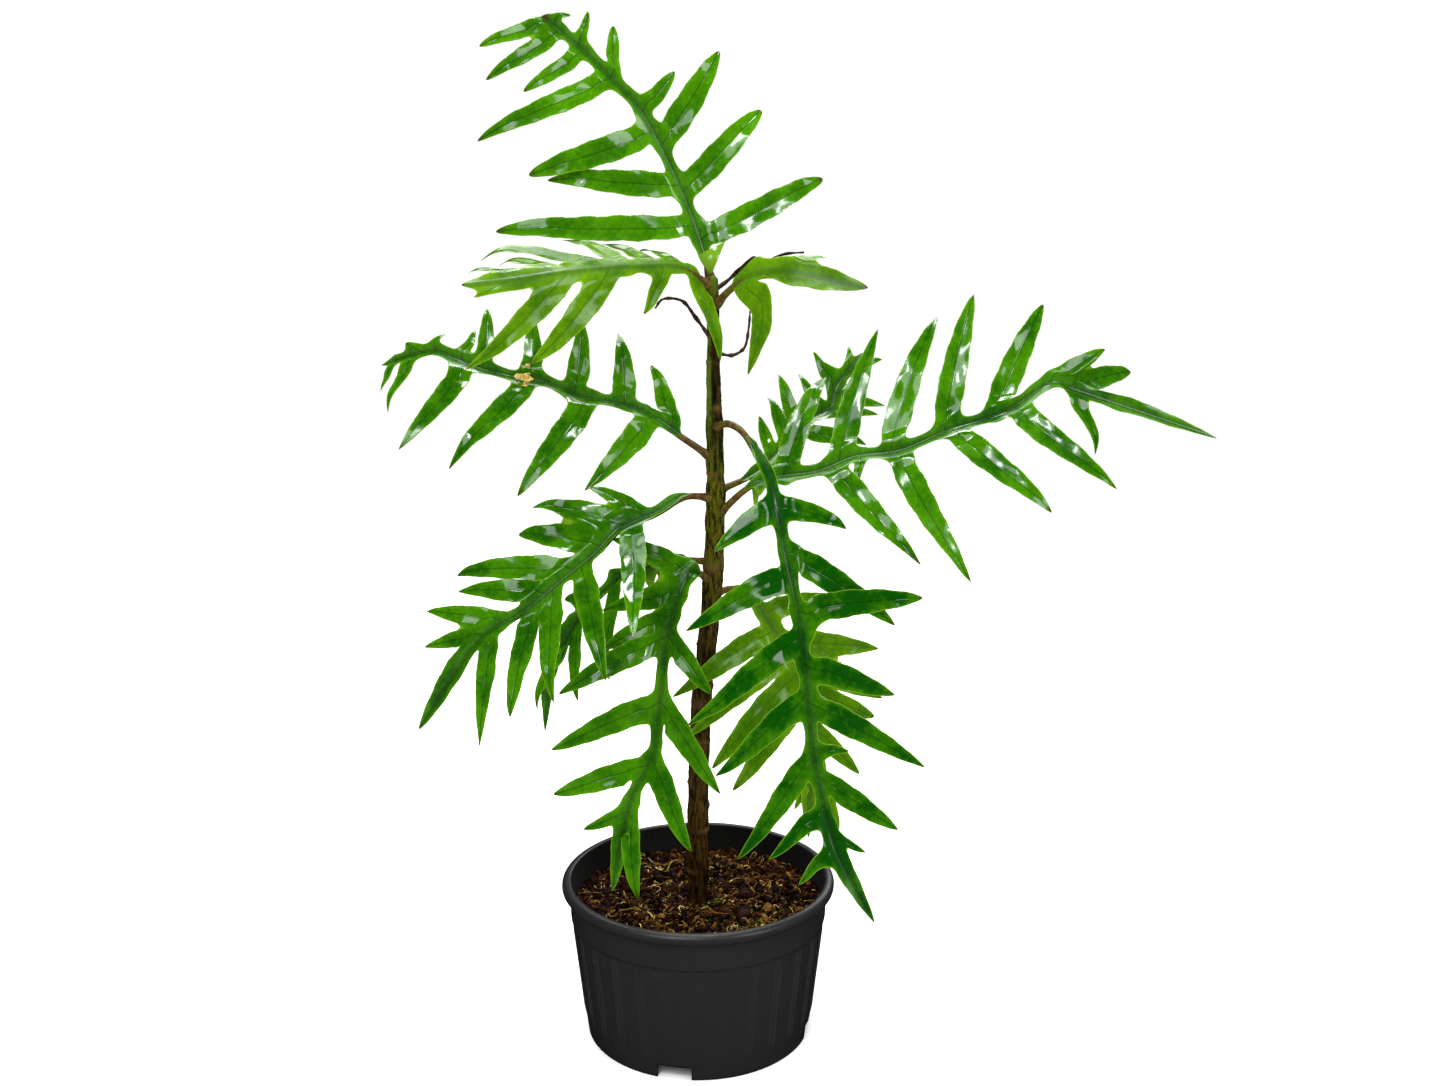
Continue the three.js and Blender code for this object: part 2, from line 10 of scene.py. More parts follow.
import bpy
import numpy as np
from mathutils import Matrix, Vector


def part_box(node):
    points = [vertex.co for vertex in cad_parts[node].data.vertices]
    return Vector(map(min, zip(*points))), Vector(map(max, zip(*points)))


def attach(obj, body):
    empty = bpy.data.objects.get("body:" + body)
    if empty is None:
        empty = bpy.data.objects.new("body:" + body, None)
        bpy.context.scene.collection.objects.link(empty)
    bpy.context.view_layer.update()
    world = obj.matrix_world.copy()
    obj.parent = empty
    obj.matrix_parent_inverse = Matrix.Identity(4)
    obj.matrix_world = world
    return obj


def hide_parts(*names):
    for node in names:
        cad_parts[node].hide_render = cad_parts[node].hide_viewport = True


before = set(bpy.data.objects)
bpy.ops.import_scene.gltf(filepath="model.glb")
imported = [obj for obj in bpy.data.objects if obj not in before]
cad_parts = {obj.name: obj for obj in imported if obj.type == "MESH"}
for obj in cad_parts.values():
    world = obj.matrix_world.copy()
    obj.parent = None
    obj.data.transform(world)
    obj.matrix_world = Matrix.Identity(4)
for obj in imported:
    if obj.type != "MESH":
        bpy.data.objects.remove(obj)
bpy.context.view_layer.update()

MM = 0.001
scene = bpy.context.scene
rng = np.random.default_rng(21)
print("frame nodes:", len(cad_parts))

# %% [markdown]
# ## Camera
# The camera stands a metre in front of the plant at leaf height and looks a little down, as a
# person does at a plant on the floor. A lens near 35 mm gives the same perspective.

# %% Camera
LOOK_DOWN = 11.48  # degrees
camera_data = bpy.data.cameras.new("camera")
camera_data.sensor_fit = "HORIZONTAL"
camera_data.sensor_width = 36.0
camera_data.lens = 35.45
camera = bpy.data.objects.new("camera", camera_data)
camera.location = (0.019, -0.982, 0.565)
camera.rotation_euler = (math.radians(90 - LOOK_DOWN), 0, 0)
scene.collection.objects.link(camera)
scene.camera = camera

# %% [markdown]
# ## Meshes from arrays
# Every surface is worked out as a whole array of points, so one helper puts points, faces and
# per-point values into a mesh. More helpers shape numbers: an eased step, a soft noise made of
# a few dozen crossed waves, and the faces of a regular grid.

# %% Mesh helpers
def add_piece(name, points, faces, materials, values=None, face_slots=None):
    """A new object from points in mm, faces as rows of point numbers, and values per point."""
    mesh = bpy.data.meshes.new(name)
    sides = faces.shape[1]
    mesh.vertices.add(len(points))
    mesh.vertices.foreach_set("co", (points * MM).astype(np.float32).ravel())
    mesh.loops.add(faces.size)
    mesh.loops.foreach_set("vertex_index", faces.astype(np.int32).ravel())
    mesh.polygons.add(len(faces))
    mesh.polygons.foreach_set("loop_start", np.arange(len(faces), dtype=np.int32) * sides)
    mesh.polygons.foreach_set("use_smooth", np.ones(len(faces), dtype=bool))
    for label, numbers in (values or {}).items():
        layer = mesh.attributes.new(label, "FLOAT", "POINT")
        layer.data.foreach_set("value", np.asarray(numbers, np.float32).ravel())
    for material in materials:
        mesh.materials.append(material)
    if face_slots is not None:
        mesh.polygons.foreach_set("material_index", face_slots.astype(np.int32))
    mesh.update(calc_edges=True)
    mesh.validate()
    piece = bpy.data.objects.new(name, mesh)
    scene.collection.objects.link(piece)
    print(f"{name}: {len(points)} points, {len(mesh.polygons)} faces")
    return piece


def finish_piece(piece, slot, *nodes):
    """The piece rides on the one body and stands for its CAD nodes; the slot is not used."""
    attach(piece, "root")
    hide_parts(*nodes)


def ease(low, high, x):
    """0 below low, 1 above high, and 3t^2 - 2t^3 of the way t between."""
    t = np.clip((x - low) / (high - low), 0, 1)
    return t * t * (3 - 2 * t)


def wave_noise(points, scale, seed):
    """Soft noise about -1 to 1: the mean of sines along random directions, with a scale in mm."""
    waves = 28
    pick = np.random.default_rng(seed)
    direction = pick.normal(size=(3, waves))
    direction /= np.linalg.norm(direction, axis=0)
    direction *= 2 * math.pi / scale * pick.uniform(0.6, 1.5, waves)
    phase = pick.uniform(0, 2 * math.pi, waves)
    return np.sin(points @ direction + phase).sum(axis=1) * math.sqrt(2 / waves) / 1.6


def grid_faces(rows, columns, close_columns=False):
    """Quads of a grid whose points are numbered row by row; the last column may join the first."""
    row = np.arange(rows - 1)[:, None]
    column = np.arange(columns if close_columns else columns - 1)[None, :]
    right = (column + 1) % columns
    a = row * columns + column
    b = row * columns + right
    return np.stack([a, b, b + columns, a + columns], axis=-1).reshape(-1, 4)


def as_triangles(quads):
    """Each quad as two triangles."""
    return np.concatenate([quads[:, [0, 1, 2]], quads[:, [0, 2, 3]]])


def ringed_faces(rows, columns):
    """A grid closed round, with fans from its first and last ring to two points more."""
    ring = np.arange(columns)
    after = (ring + 1) % columns
    hub = np.full(columns, rows * columns)
    last = (rows - 1) * columns
    return np.concatenate([as_triangles(grid_faces(rows, columns, close_columns=True)),
                           np.stack([after, ring, hub], axis=1),
                           np.stack([ring + last, after + last, hub + 1], axis=1)])

# %% [markdown]
# ## Curves and tubes
# Stems, stalks and midribs grow along smooth curves through a few points. A centripetal
# Catmull-Rom curve passes through each point and makes no loops between close ones. A tube is
# a circle carried along such a curve, with its radius changing on the way.

# %% Curve helpers
def smooth_curve(points, per_span):
    """Centripetal Catmull-Rom: each span blends straight lines through its four nearest points."""
    points = np.asarray(points, float)
    ends = np.vstack([2 * points[0] - points[1], points, 2 * points[-1] - points[-2]])
    out = []
    for i in range(len(points) - 1):
        p = ends[i:i + 4]
        gaps = np.linalg.norm(np.diff(p, axis=0), axis=1)
        knots = np.concatenate([[0], np.cumsum(gaps ** 0.5)])
        t = np.linspace(knots[1], knots[2], per_span, endpoint=False)[:, None]
        level = [p[j] + (p[j + 1] - p[j]) * (t - knots[j]) / (knots[j + 1] - knots[j])
                 for j in range(3)]
        level = [level[j] + (level[j + 1] - level[j]) * (t - knots[j]) / (knots[j + 2] - knots[j])
                 for j in range(2)]
        out.append(level[0] + (level[1] - level[0]) * (t - knots[1]) / (knots[2] - knots[1]))
    out.append(points[-1:])
    return np.vstack(out)


def unit(vectors):
    """Vectors at length 1."""
    return vectors / np.linalg.norm(vectors, axis=-1, keepdims=True)


def lengths_along(path):
    """Distance along a path at each of its points."""
    return np.concatenate([[0], np.cumsum(np.linalg.norm(np.diff(path, axis=0), axis=1))])


def sample(path, at, stations):
    """A path's points, or anything given along it, at the stations asked for."""
    return np.stack([np.interp(stations, at, path[:, i]) for i in range(path.shape[1])], axis=1)


def tube(path, radius, sides, facing):
    """Circles of the given radii across a path, closed by a point at each end."""
    along = unit(np.gradient(path, axis=0))
    side = unit(np.cross(along, np.asarray(facing, float) + 0.01))
    up = np.cross(side, along)
    turn = np.linspace(0, 2 * math.pi, sides, endpoint=False)
    ring = np.cos(turn)[:, None] * side[:, None] + np.sin(turn)[:, None] * up[:, None]
    points = path[:, None] + np.asarray(radius)[:, None, None] * ring
    points = np.vstack([points.reshape(-1, 3), path[:1], path[-1:]])
    return points, ringed_faces(len(path), sides)[:, ::-1]

# %% [markdown]
# ## Material helpers
# A material here is a small tree of nodes. Each helper adds one step and hands on its output,
# so a finish reads as a few lines of sums, noise and coats of colour. The tree that a step goes
# into is the tree that its input comes from.

# %% Node helpers
def feed(target, value):
    """Sets one input to a plain value, or links it to another node's output."""
    if isinstance(value, bpy.types.NodeSocket):
        target.id_data.links.new(value, target)
    else:
        target.default_value = value


def add_node(tree, kind, **inputs):
    """A node of one kind, with its inputs set or linked by name."""
    node = tree.nodes.new("ShaderNode" + kind)
    for key, value in inputs.items():
        feed(node.inputs[key.replace("_", " ")], value)
    return node


def arithmetic(operation, a, b=0.0, clamp=False):
    """One arithmetic step on a socket and a number, or on two sockets."""
    node = add_node(a.id_data, "Math")
    node.operation, node.use_clamp = operation, clamp
    feed(node.inputs[0], a)
    feed(node.inputs[1], b)
    return node.outputs[0]


def times(a, b):
    """a multiplied by b."""
    return arithmetic("MULTIPLY", a, b)


def total(first, *others, clamp=False):
    """The sum of all values, one after the other; the last sum may be held to 0..1."""
    for left, other in zip(range(len(others), 0, -1), others):
        first = arithmetic("ADD", first, other, clamp and left == 1)
    return first


def coat(base, share, colour, strength=1.0):
    """The base colour going to another colour by a share times a strength."""
    node = add_node(share.id_data, "Mix")
    node.data_type = "RGBA"
    feed(node.inputs[0], times(share, strength))
    for number, value in ((6, base), (7, colour)):
        feed(node.inputs[number], (*value, 1) if isinstance(value, tuple) else value)
    return node.outputs[2]


def value_map(value, low, high, to_low=0.0, to_high=1.0):
    """A smooth step that takes low..high to to_low..to_high."""
    node = add_node(value.id_data, "MapRange")
    node.interpolation_type = "SMOOTHSTEP"
    for target, number in zip(node.inputs, (value, low, high, to_low, to_high)):
        feed(target, number)
    return node.outputs[0]


def noise(place, scale, detail=3.0, roughness=0.55):
    """Noise over a vector; the scale is features per metre."""
    return add_node(place.id_data, "TexNoise", Vector=place, Scale=scale, Detail=detail,
                    Roughness=roughness).outputs["Fac"]


def ramp(share, stops):
    """A colour ramp over a share, with stops given as place and colour."""
    node = add_node(share.id_data, "ValToRGB", Fac=share)
    elements = node.color_ramp.elements
    while len(elements) < len(stops):
        elements.new(0.5)
    for element, (place, colour) in zip(elements, stops):
        element.position = place
        element.color = (*colour, 1)
    return node.outputs["Color"]


def object_place(tree, stretch=(1, 1, 1)):
    """Object coordinates in metres, squeezed or stretched per axis."""
    place = add_node(tree, "TexCoord").outputs["Object"]
    return add_node(tree, "Mapping", Vector=place, Scale=stretch).outputs["Vector"]


def attribute(tree, name):
    """A named per-point value as a number."""
    node = add_node(tree, "Attribute")
    node.attribute_name = name
    return node.outputs["Fac"]


def new_material(name):
    """A new material and its tree, whose Principled shader is joined to the output."""
    material = bpy.data.materials.new(name)
    material.use_nodes = True
    return material, material.node_tree


def complete(material, shine, colour, roughness, height, strength, depth):
    """Joins colour, roughness and a bump of some depth in metres; the shine is a plain number."""
    tree = material.node_tree
    shader = tree.nodes["Principled BSDF"]
    shader.inputs["Specular IOR Level"].default_value = shine
    bump = add_node(tree, "Bump", Strength=strength, Distance=depth, Height=height)
    feed(shader.inputs["Base Color"], colour)
    feed(shader.inputs["Roughness"], roughness)
    feed(shader.inputs["Normal"], bump.outputs[0])
    return material

# %% [markdown]
# ## Pot: black moulded plastic
# A nursery pot is thin polypropylene, satin black, with faint vertical drag marks from the mould
# and a little dried soil dust. The dust and scuffs lighten the colour and roughen the gloss. The
# inside wall carries painted shade, and the crests of the side ribs carry a painted highlight.

# %% Pot material
def pot_material():
    """Satin black; painted shade on the duller inside wall, a painted highlight on the rib crests.
    """
    material, tree = new_material("black satin plastic")
    inside = attribute(tree, "inside")
    place = object_place(tree)
    drag = noise(object_place(tree, (1, 1, 0.12)), 420, 4)
    dust = value_map(noise(place, 95, 6, 0.7), 0.56, 0.8)
    speck = value_map(noise(place, 900, 2, 0.5), 0.7, 0.76)
    dirt = total(times(dust, 0.35), times(speck, 0.35), clamp=True)
    colour = coat((0.0105, 0.0104, 0.0109), dirt, (0.026, 0.023, 0.02))
    # Painted highlight: the rib crests are coloured lighter to stand in for the sheen they catch.
    colour = coat(colour, attribute(tree, "crest"), (0.024, 0.024, 0.025), 0.45)
    # Painted shade: the inside wall is coloured darker than the outside, though it is the same
    # plastic.
    colour = coat(colour, inside, (0.0016, 0.0013, 0.001))
    rough = total(value_map(drag, 0.3, 0.75, 0.34, 0.48), times(inside, 0.4), times(dirt, 0.25))
    height = total(times(drag, 0.6), times(noise(place, 2600, 2), 0.25))
    return complete(material, 0.36, colour, rough, height, 0.22, 0.0004)


pot_plastic = pot_material()

# %% [markdown]
# ## Pot: shape
# The pot is a profile turned about its axis: a foot pad, a raised floor, a skirt, the tapered
# wall with low ribs, a step, a collar and a rolled lip. The four drain notches are left out of
# the skirt's faces, and the skirt's cut edges are closed with walls of their own. The floor's
# drain holes lie hidden between the soil and the ground and aren't opened here.

# %% Pot
POT_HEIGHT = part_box("pot")[1][2] / MM
RIM = 100.0
COLLAR = RIM - 5.5
BASE = 82.5
WALL = 1.6
FLOOR_LIFT = 10.0
FLOOR_TOP = 12.0
PAD = 14.0
COLLAR_TOP = POT_HEIGHT - 8.0
COLLAR_FOOT = COLLAR_TOP - 21.0
COLUMNS = 720
NOTCH_TURN = -11.0
NOTCH_HALF = 17  # half a notch, in columns of half a degree
SKIRT_ROWS = 6
WALL_ROWS = 26
RIBS = 28
RIB_HEIGHT = 0.95


def body_radius(z):
    """Outside radius of the tapered wall: straight from the base to under the collar."""
    return BASE + (COLLAR - 2.0 - BASE) * z / COLLAR_FOOT


def arc(cx, cz, radius, start, stop, steps):
    """Points on a circle arc, angles in degrees from +r towards +z."""
    turn = np.radians(np.linspace(start, stop, steps))
    return [(cx + radius * math.cos(t), cz + radius * math.sin(t)) for t in turn]


def pot_profile():
    """The closed outline from the pad's middle, out, up, over the lip and down to the floor."""
    skirt = np.linspace(0, FLOOR_LIFT, SKIRT_ROWS)
    inner = [(BASE - WALL, z) for z in skirt[::-1]]
    outer = [(body_radius(z), z) for z in skirt]
    wall = [(body_radius(z), z) for z in np.linspace(FLOOR_LIFT + 2, COLLAR_FOOT - 1.2, WALL_ROWS)]
    step = [(body_radius(COLLAR_FOOT), COLLAR_FOOT - 0.6), (COLLAR - 1.3, COLLAR_FOOT),
            (COLLAR - 0.9, COLLAR_FOOT + 0.5), (COLLAR - 0.75, COLLAR_FOOT + 1.3)]
    collar = [(COLLAR - 0.7 + 0.7 * s, COLLAR_FOOT + 2 + s * (COLLAR_TOP - COLLAR_FOOT - 3))
              for s in np.linspace(0, 1, 8)]
    under = [(COLLAR + 0.25, COLLAR_TOP - 0.4), (COLLAR + 1.2, COLLAR_TOP)]
    lip = arc(RIM - 3.2, COLLAR_TOP + 3.2, 3.2, -80, 0, 7)
    lip += arc(RIM - 4.4, POT_HEIGHT - 4.4, 4.4, 8, 90, 9)
    inside = body_radius(COLLAR_TOP) - WALL
    roll = arc(inside + 1.6, POT_HEIGHT - 1.6, 1.6, 100, 180, 5)
    wall_in = [(body_radius(z) - WALL, z) for z in np.linspace(COLLAR_TOP, FLOOR_TOP, 20)]
    start = [(0, 0), (PAD - 0.6, 0), (PAD, 0.6), (PAD, FLOOR_LIFT)]
    outline = start + inner + outer + wall + step + collar + under + lip + roll + wall_in
    return np.array(outline + [(0, FLOOR_TOP)]), len(start), len(outline) - len(wall_in) - 2


def rib_height(turn, z):
    """Soft-edged bands times cos^2 of the turn: highest at the sides, gone at the front and back.

    They also fade at the top and the foot.
    """
    place = np.abs((turn * RIBS / (2 * math.pi)) % 1 - 0.5)
    band = ease(0.30, 0.36, place) - 0.5 * ease(0.40, 0.5, place)
    top = 1 - ease(COLLAR_FOOT - 5, COLLAR_FOOT - 1, z)
    return RIB_HEIGHT * band * np.cos(turn) ** 2 * ease(FLOOR_LIFT, FLOOR_LIFT + 12, z) * top


def build_pot():
    """Each outline point goes round at its radius, x = r cos and y = r sin of the turn."""
    outline, first, inner_start = pot_profile()
    turn = np.radians(NOTCH_TURN - 90 + 0.5 * np.arange(COLUMNS))
    radius, z = outline[:, 0:1], outline[:, 1:2]
    rows = np.arange(len(outline))
    is_wall = (rows >= first + SKIRT_ROWS) & (rows < first + 2 * SKIRT_ROWS + WALL_ROWS)
    rib = np.where(is_wall[:, None], rib_height(turn[None, :], z), 0)
    radius = radius + rib
    points = np.stack([radius * np.cos(turn), radius * np.sin(turn), z + 0 * turn], axis=-1)
    faces = grid_faces(len(outline), COLUMNS, close_columns=True)
    row, column = np.divmod(np.arange(len(faces)), COLUMNS)
    in_notch = np.abs((column + 0.5 + 90) % 180 - 90) < NOTCH_HALF
    in_skirt = (row >= first) & (row < first + 2 * SKIRT_ROWS - 1)
    faces = faces[~(in_notch & in_skirt)]
    inner = first + np.arange(SKIRT_ROWS)
    outer = first + 2 * SKIRT_ROWS - 1 - np.arange(SKIRT_ROWS)
    extra = []
    for quarter in range(4):
        columns = (180 * quarter + np.arange(-NOTCH_HALF, NOTCH_HALF)) % COLUMNS
        after = (columns + 1) % COLUMNS
        rim_in, rim_out = inner[0] * COLUMNS, outer[0] * COLUMNS
        rim = [rim_in + columns, rim_in + after, rim_out + after, rim_out + columns]
        extra.append(np.stack(rim, axis=1))
        for edge, order in ((columns[0], slice(None)), (after[-1], slice(None, None, -1))):
            a, b = inner * COLUMNS + edge, outer * COLUMNS + edge
            extra.append(np.stack([a[:-1], b[:-1], b[1:], a[1:]], axis=1)[:, order])
    faces = np.concatenate([faces] + extra)
    # The inside share marks the inner wall for its duller gloss and for its painted shade.
    inside = np.repeat(ease(inner_start - 2, inner_start + 1, rows), COLUMNS)
    # The crest share carries each rib's height to the painted highlight on its crest.
    return add_piece("pot", points.reshape(-1, 3), faces, [pot_plastic],
                     {"inside": inside, "crest": rib.ravel() / RIB_HEIGHT})


finish_piece(build_pot(), "pot_plastic", "pot")

# %% [markdown]
# ## Soil: colours
# Potting mix is dark peat with chips of bark, pale roots and fibres, and a little moss where it
# stays damp. Each chip carries its own shade number, and a ramp turns the shade into a colour.

# %% Soil materials
SOIL_STOPS = [
    (0.0, (0.0012, 0.0002, 0.0001)), (0.3, (0.006, 0.001, 0.0002)), (0.5, (0.021, 0.0048, 0.0006)),
    (0.68, (0.062, 0.02, 0.0026)), (0.82, (0.19, 0.095, 0.015)), (0.93, (0.4, 0.29, 0.065)),
    (1.0, (0.75, 0.66, 0.26)),
]
MOSS_STOPS = [(0.0, (0.01, 0.008, 0.001)), (0.5, (0.055, 0.05, 0.004)), (1.0, (0.15, 0.135, 0.014))]


def crumb_material(name, stops, roughness):
    """A ramp over each crumb's own shade, stirred a little by fine noise."""
    material, tree = new_material(name)
    grain = noise(object_place(tree), 900, 4, 0.65)
    shade = total(attribute(tree, "shade"), value_map(grain, 0.25, 0.75, -0.12, 0.12), clamp=True)
    rough = value_map(grain, 0.3, 0.7, roughness - 0.2, roughness + 0.2)
    return complete(material, 0.04, ramp(shade, stops), rough, grain, 0.6, 0.0006)


peat = crumb_material("peat and bark crumbs", SOIL_STOPS, 0.42)
moss = crumb_material("moss crumbs", MOSS_STOPS, 0.75)

# %% [markdown]
# ## Soil: shape
# The soil is a plug that fills the pot, with an uneven top. Loose chips and fibres are what the
# eye reads as soil, so thousands of small bark chips and about a thousand curled fibres lie on
# top. All chips come from one simple shape, stretched, turned and placed as a whole array, and
# so do all fibres.

# %% Soil
SOIL_TOP = 98.0
SOIL_GAP = 0.3
SOIL_EDGE = body_radius(SOIL_TOP) - WALL - SOIL_GAP
STEM_CLEAR = 8.5  # loose pieces keep out of this radius


def soil_height(x, y):
    """Height of the soil's top: gentle mounds and crumbs, lower and flatter at the wall."""
    place = np.stack([x, y, 0 * x], axis=-1).reshape(-1, 3)
    rough = (1.9 * wave_noise(place, 34, 3) + 0.8 * wave_noise(place, 9, 4)
             + 0.5 * wave_noise(place, 4.5, 5))
    inset = ease(0, 12, SOIL_EDGE - np.hypot(x, y)).ravel()
    return (SOIL_TOP - 1.2 + rough * (0.3 + 0.7 * inset)).reshape(x.shape)


def build_soil():
    """Rings from the middle of the top outwards, then down the side and under to the middle."""
    columns, rings = 220, 96
    turn = np.linspace(0, 2 * math.pi, columns, endpoint=False)[None, :]
    radius = SOIL_EDGE * np.linspace(0.002, 1, rings)[:, None]
    x, y = radius * np.cos(turn), radius * np.sin(turn)
    top = np.stack([x, y, soil_height(x, y)], axis=-1)
    low = FLOOR_TOP + SOIL_GAP
    side = [(body_radius(z) - WALL - SOIL_GAP, z) for z in np.linspace(SOIL_TOP - 6, low, 8)]
    side.append((0.2, low))
    lower = np.array([[(r * math.cos(t), r * math.sin(t), z) for t in turn[0]] for r, z in side])
    points = np.concatenate([top, lower]).reshape(-1, 3)
    faces = grid_faces(rings + len(side), columns, close_columns=True)[:, ::-1]
    hub = np.arange(columns)
    cap = np.stack([hub, (hub + 1) % columns, np.full(columns, len(points))], axis=1)
    points = np.vstack([points, [[0, 0, points[:columns, 2].mean()]]])
    tris = np.concatenate([as_triangles(faces), cap])
    shade = 0.2 + 0.16 * wave_noise(points, 7, 8)
    return add_piece("soil", points, tris, [peat], {"shade": shade})


def turned(directions, points, roll):
    """Copies of a shape, each with its long axis along its own direction and rolled about it."""
    ahead = unit(directions)
    side = unit(np.cross(ahead, np.array([0.1, 0.2, 1.0])))
    up = np.cross(side, ahead)
    c, s = np.cos(roll)[:, None], np.sin(roll)[:, None]
    side, up = c * side + s * up, c * up - s * side
    return (points[..., 0:1] * ahead[:, None] + points[..., 1:2] * side[:, None]
            + points[..., 2:3] * up[:, None])


def icosahedron():
    """The 12 corners and 20 faces of an icosahedron of radius 1."""
    g = (1 + math.sqrt(5)) / 2
    corners = np.array([(-1, g, 0), (1, g, 0), (-1, -g, 0), (1, -g, 0), (0, -1, g), (0, 1, g),
                        (0, -1, -g), (0, 1, -g), (g, 0, -1), (g, 0, 1), (-g, 0, -1), (-g, 0, 1)])
    faces = np.array([(0, 11, 5), (0, 5, 1), (0, 1, 7), (0, 7, 10), (0, 10, 11),
                      (1, 5, 9), (5, 11, 4), (11, 10, 2), (10, 7, 6), (7, 1, 8),
                      (3, 9, 4), (3, 4, 2), (3, 2, 6), (3, 6, 8), (3, 8, 9),
                      (4, 9, 5), (2, 4, 11), (6, 2, 10), (8, 6, 7), (9, 8, 1)])
    return corners / math.hypot(1, g), faces


def scattered(count, reach, least=0.0):
    """Places spread evenly over a circle, and their angles."""
    angle = rng.uniform(0, 2 * math.pi, count)
    radius = reach * np.sqrt(rng.uniform(least, 1, count))
    return radius * np.cos(angle), radius * np.sin(angle), angle


def copies(faces, points_each, count):
    """The faces of one shape, repeated for each of its copies."""
    return (faces[None] + points_each * np.arange(count)[:, None, None]).reshape(-1, 3)


def scatter_chips(name, count, material, reach, size, shade, centre=(0, 0), spread=None):
    """Chips of random length, width and thickness on the soil, with corners moved a little.

    They lie evenly over a circle, or in a patch about a centre when a spread is given.
    """
    x, y, angle = scattered(count, reach)
    if spread is not None:
        x = centre[0] + spread * rng.normal(size=count)
        y = centre[1] + spread * rng.normal(size=count)
        inside = np.hypot(x, y) < reach
        x, y = x[inside], y[inside]
    away = np.hypot(x, y) > STEM_CLEAR
    x, y, count = x[away], y[away], int(away.sum())
    corners, faces = icosahedron()
    length = size * rng.lognormal(0, 0.42, count)
    stretch = np.stack([length, length * rng.uniform(0.3, 0.75, count),
                        length * rng.uniform(0.18, 0.5, count)], axis=1)
    shape = corners[None] * stretch[:, None] * (1 + rng.uniform(-0.28, 0.28, (count, 12, 1)))
    heading = angle[:count] * 7
    tilt = np.stack([np.cos(heading), np.sin(heading), rng.uniform(-0.5, 0.6, count)], axis=1)
    points = turned(tilt, shape, rng.uniform(0, 2 * math.pi, count))
    z = soil_height(x, y) + 0.25 * stretch[:, 2] + rng.uniform(-0.4, 0.9, count)
    points = points + np.stack([x, y, z], axis=1)[:, None]
    far = np.hypot(points[..., 0], points[..., 1])
    points[..., :2] *= np.minimum(1, (SOIL_EDGE + 0.1) / far)[..., None]
    low, high = shade
    tint = low + (high - low) * rng.uniform(0, 1, count) ** 1.6
    each = len(corners)
    return add_piece(name, points.reshape(-1, 3), copies(faces, each, count), [material],
                     {"shade": np.repeat(tint, each)})


def scatter_fibres(name, count, material, length, thickness, shade):
    """Thin curled strands: a bent arc with three sides, lying on the soil or just off it."""
    x, y, _ = scattered(count, SOIL_EDGE - 5, 0.02)
    steps = 8
    t = np.linspace(-0.5, 0.5, steps)[None, :]
    span = (length * rng.lognormal(0, 0.4, count))[:, None]
    heading = rng.uniform(0, 2 * math.pi, (count, 1))
    curl = rng.normal(0, 1.6, (count, 1))
    bearing = heading + curl * t * 2
    px = x[:, None] + np.cumsum(np.cos(bearing), axis=1) * span / steps
    py = y[:, None] + np.cumsum(np.sin(bearing), axis=1) * span / steps
    shrink = np.minimum(1, (SOIL_EDGE - 1.5) / np.hypot(px, py))
    px, py = px * shrink, py * shrink
    hop = rng.uniform(0.4, 2.2, (count, 1)) * (0.25 - t * t) * 4
    pz = soil_height(px, py) + 0.5 + hop
    path = np.stack([px, py, pz], axis=-1)
    along = unit(np.gradient(path, axis=1))
    side = unit(np.cross(along, [0, 0, 1.0]))
    up = np.cross(side, along)
    thick = (thickness * rng.lognormal(0, 0.3, count))[:, None, None] * (1 - 1.2 * t * t)[..., None]
    turns = [2 * math.pi * k / 3 for k in range(3)]
    ring = [path + thick * (math.cos(a) * side + math.sin(a) * up) for a in turns]
    points = np.stack(ring, axis=2).reshape(-1, 3)
    one = as_triangles(grid_faces(steps, 3, close_columns=True))[:, ::-1]
    ends = np.array([[0, 1, 2], [3 * steps - 1, 3 * steps - 2, 3 * steps - 3]])
    one = np.concatenate([one, ends])
    tint = np.repeat(rng.uniform(*shade, count), 3 * steps)
    return add_piece(name, points, copies(one, 3 * steps, count), [material], {"shade": tint})


finish_piece(build_soil(), "soil", "soil")
loose = [
    scatter_chips("soil_fine_crumbs", 4200, peat, SOIL_EDGE - 1, 1.25, (0.02, 0.8)),
    scatter_chips("soil_bark_chips", 1300, peat, SOIL_EDGE - 2, 2.5, (0.03, 0.78)),
    scatter_chips("soil_large_chips", 110, peat, SOIL_EDGE - 5, 3.6, (0.28, 0.74)),
    scatter_chips("soil_moss", 420, moss, SOIL_EDGE - 2, 1.3, (0.05, 1.0), (38, -45), 15),
    scatter_chips("soil_moss_middle", 160, moss, SOIL_EDGE - 2, 1.2, (0.0, 0.9), (8, -14), 9),
    scatter_fibres("soil_fibres", 850, peat, 7.0, 0.27, (0.6, 1.0)),
    scatter_fibres("soil_dark_fibres", 260, peat, 16.0, 0.4, (0.3, 0.75)),
]
for piece in loose:
    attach(piece, "root")

# %% [markdown]
# ## Stem: bark
# The stem's bark is thin and dark, with corky scars where old leaves fell. It is greener and
# smoother towards the crown, and a green stripe on its left side is partly green bark and partly
# painted light where the front lamps fall. The colour follows height, and blotches and fine cracks
# follow noise that is squeezed along the height so that it runs lengthwise.

# %% Bark material
BARK_STOPS = [
    (0.0, (0.026, 0.011, 0.0013)), (0.2, (0.048, 0.026, 0.003)), (0.45, (0.042, 0.026, 0.0026)),
    (0.57, (0.05, 0.048, 0.0012)), (0.7, (0.055, 0.06, 0.0014)), (0.76, (0.016, 0.011, 0.0008)),
    (0.9, (0.011, 0.007, 0.0006)), (1.0, (0.04, 0.06, 0.002)),
]
BARK_FOOT = 0.09  # metres above the floor where the ramp starts
BARK_REACH = 0.47


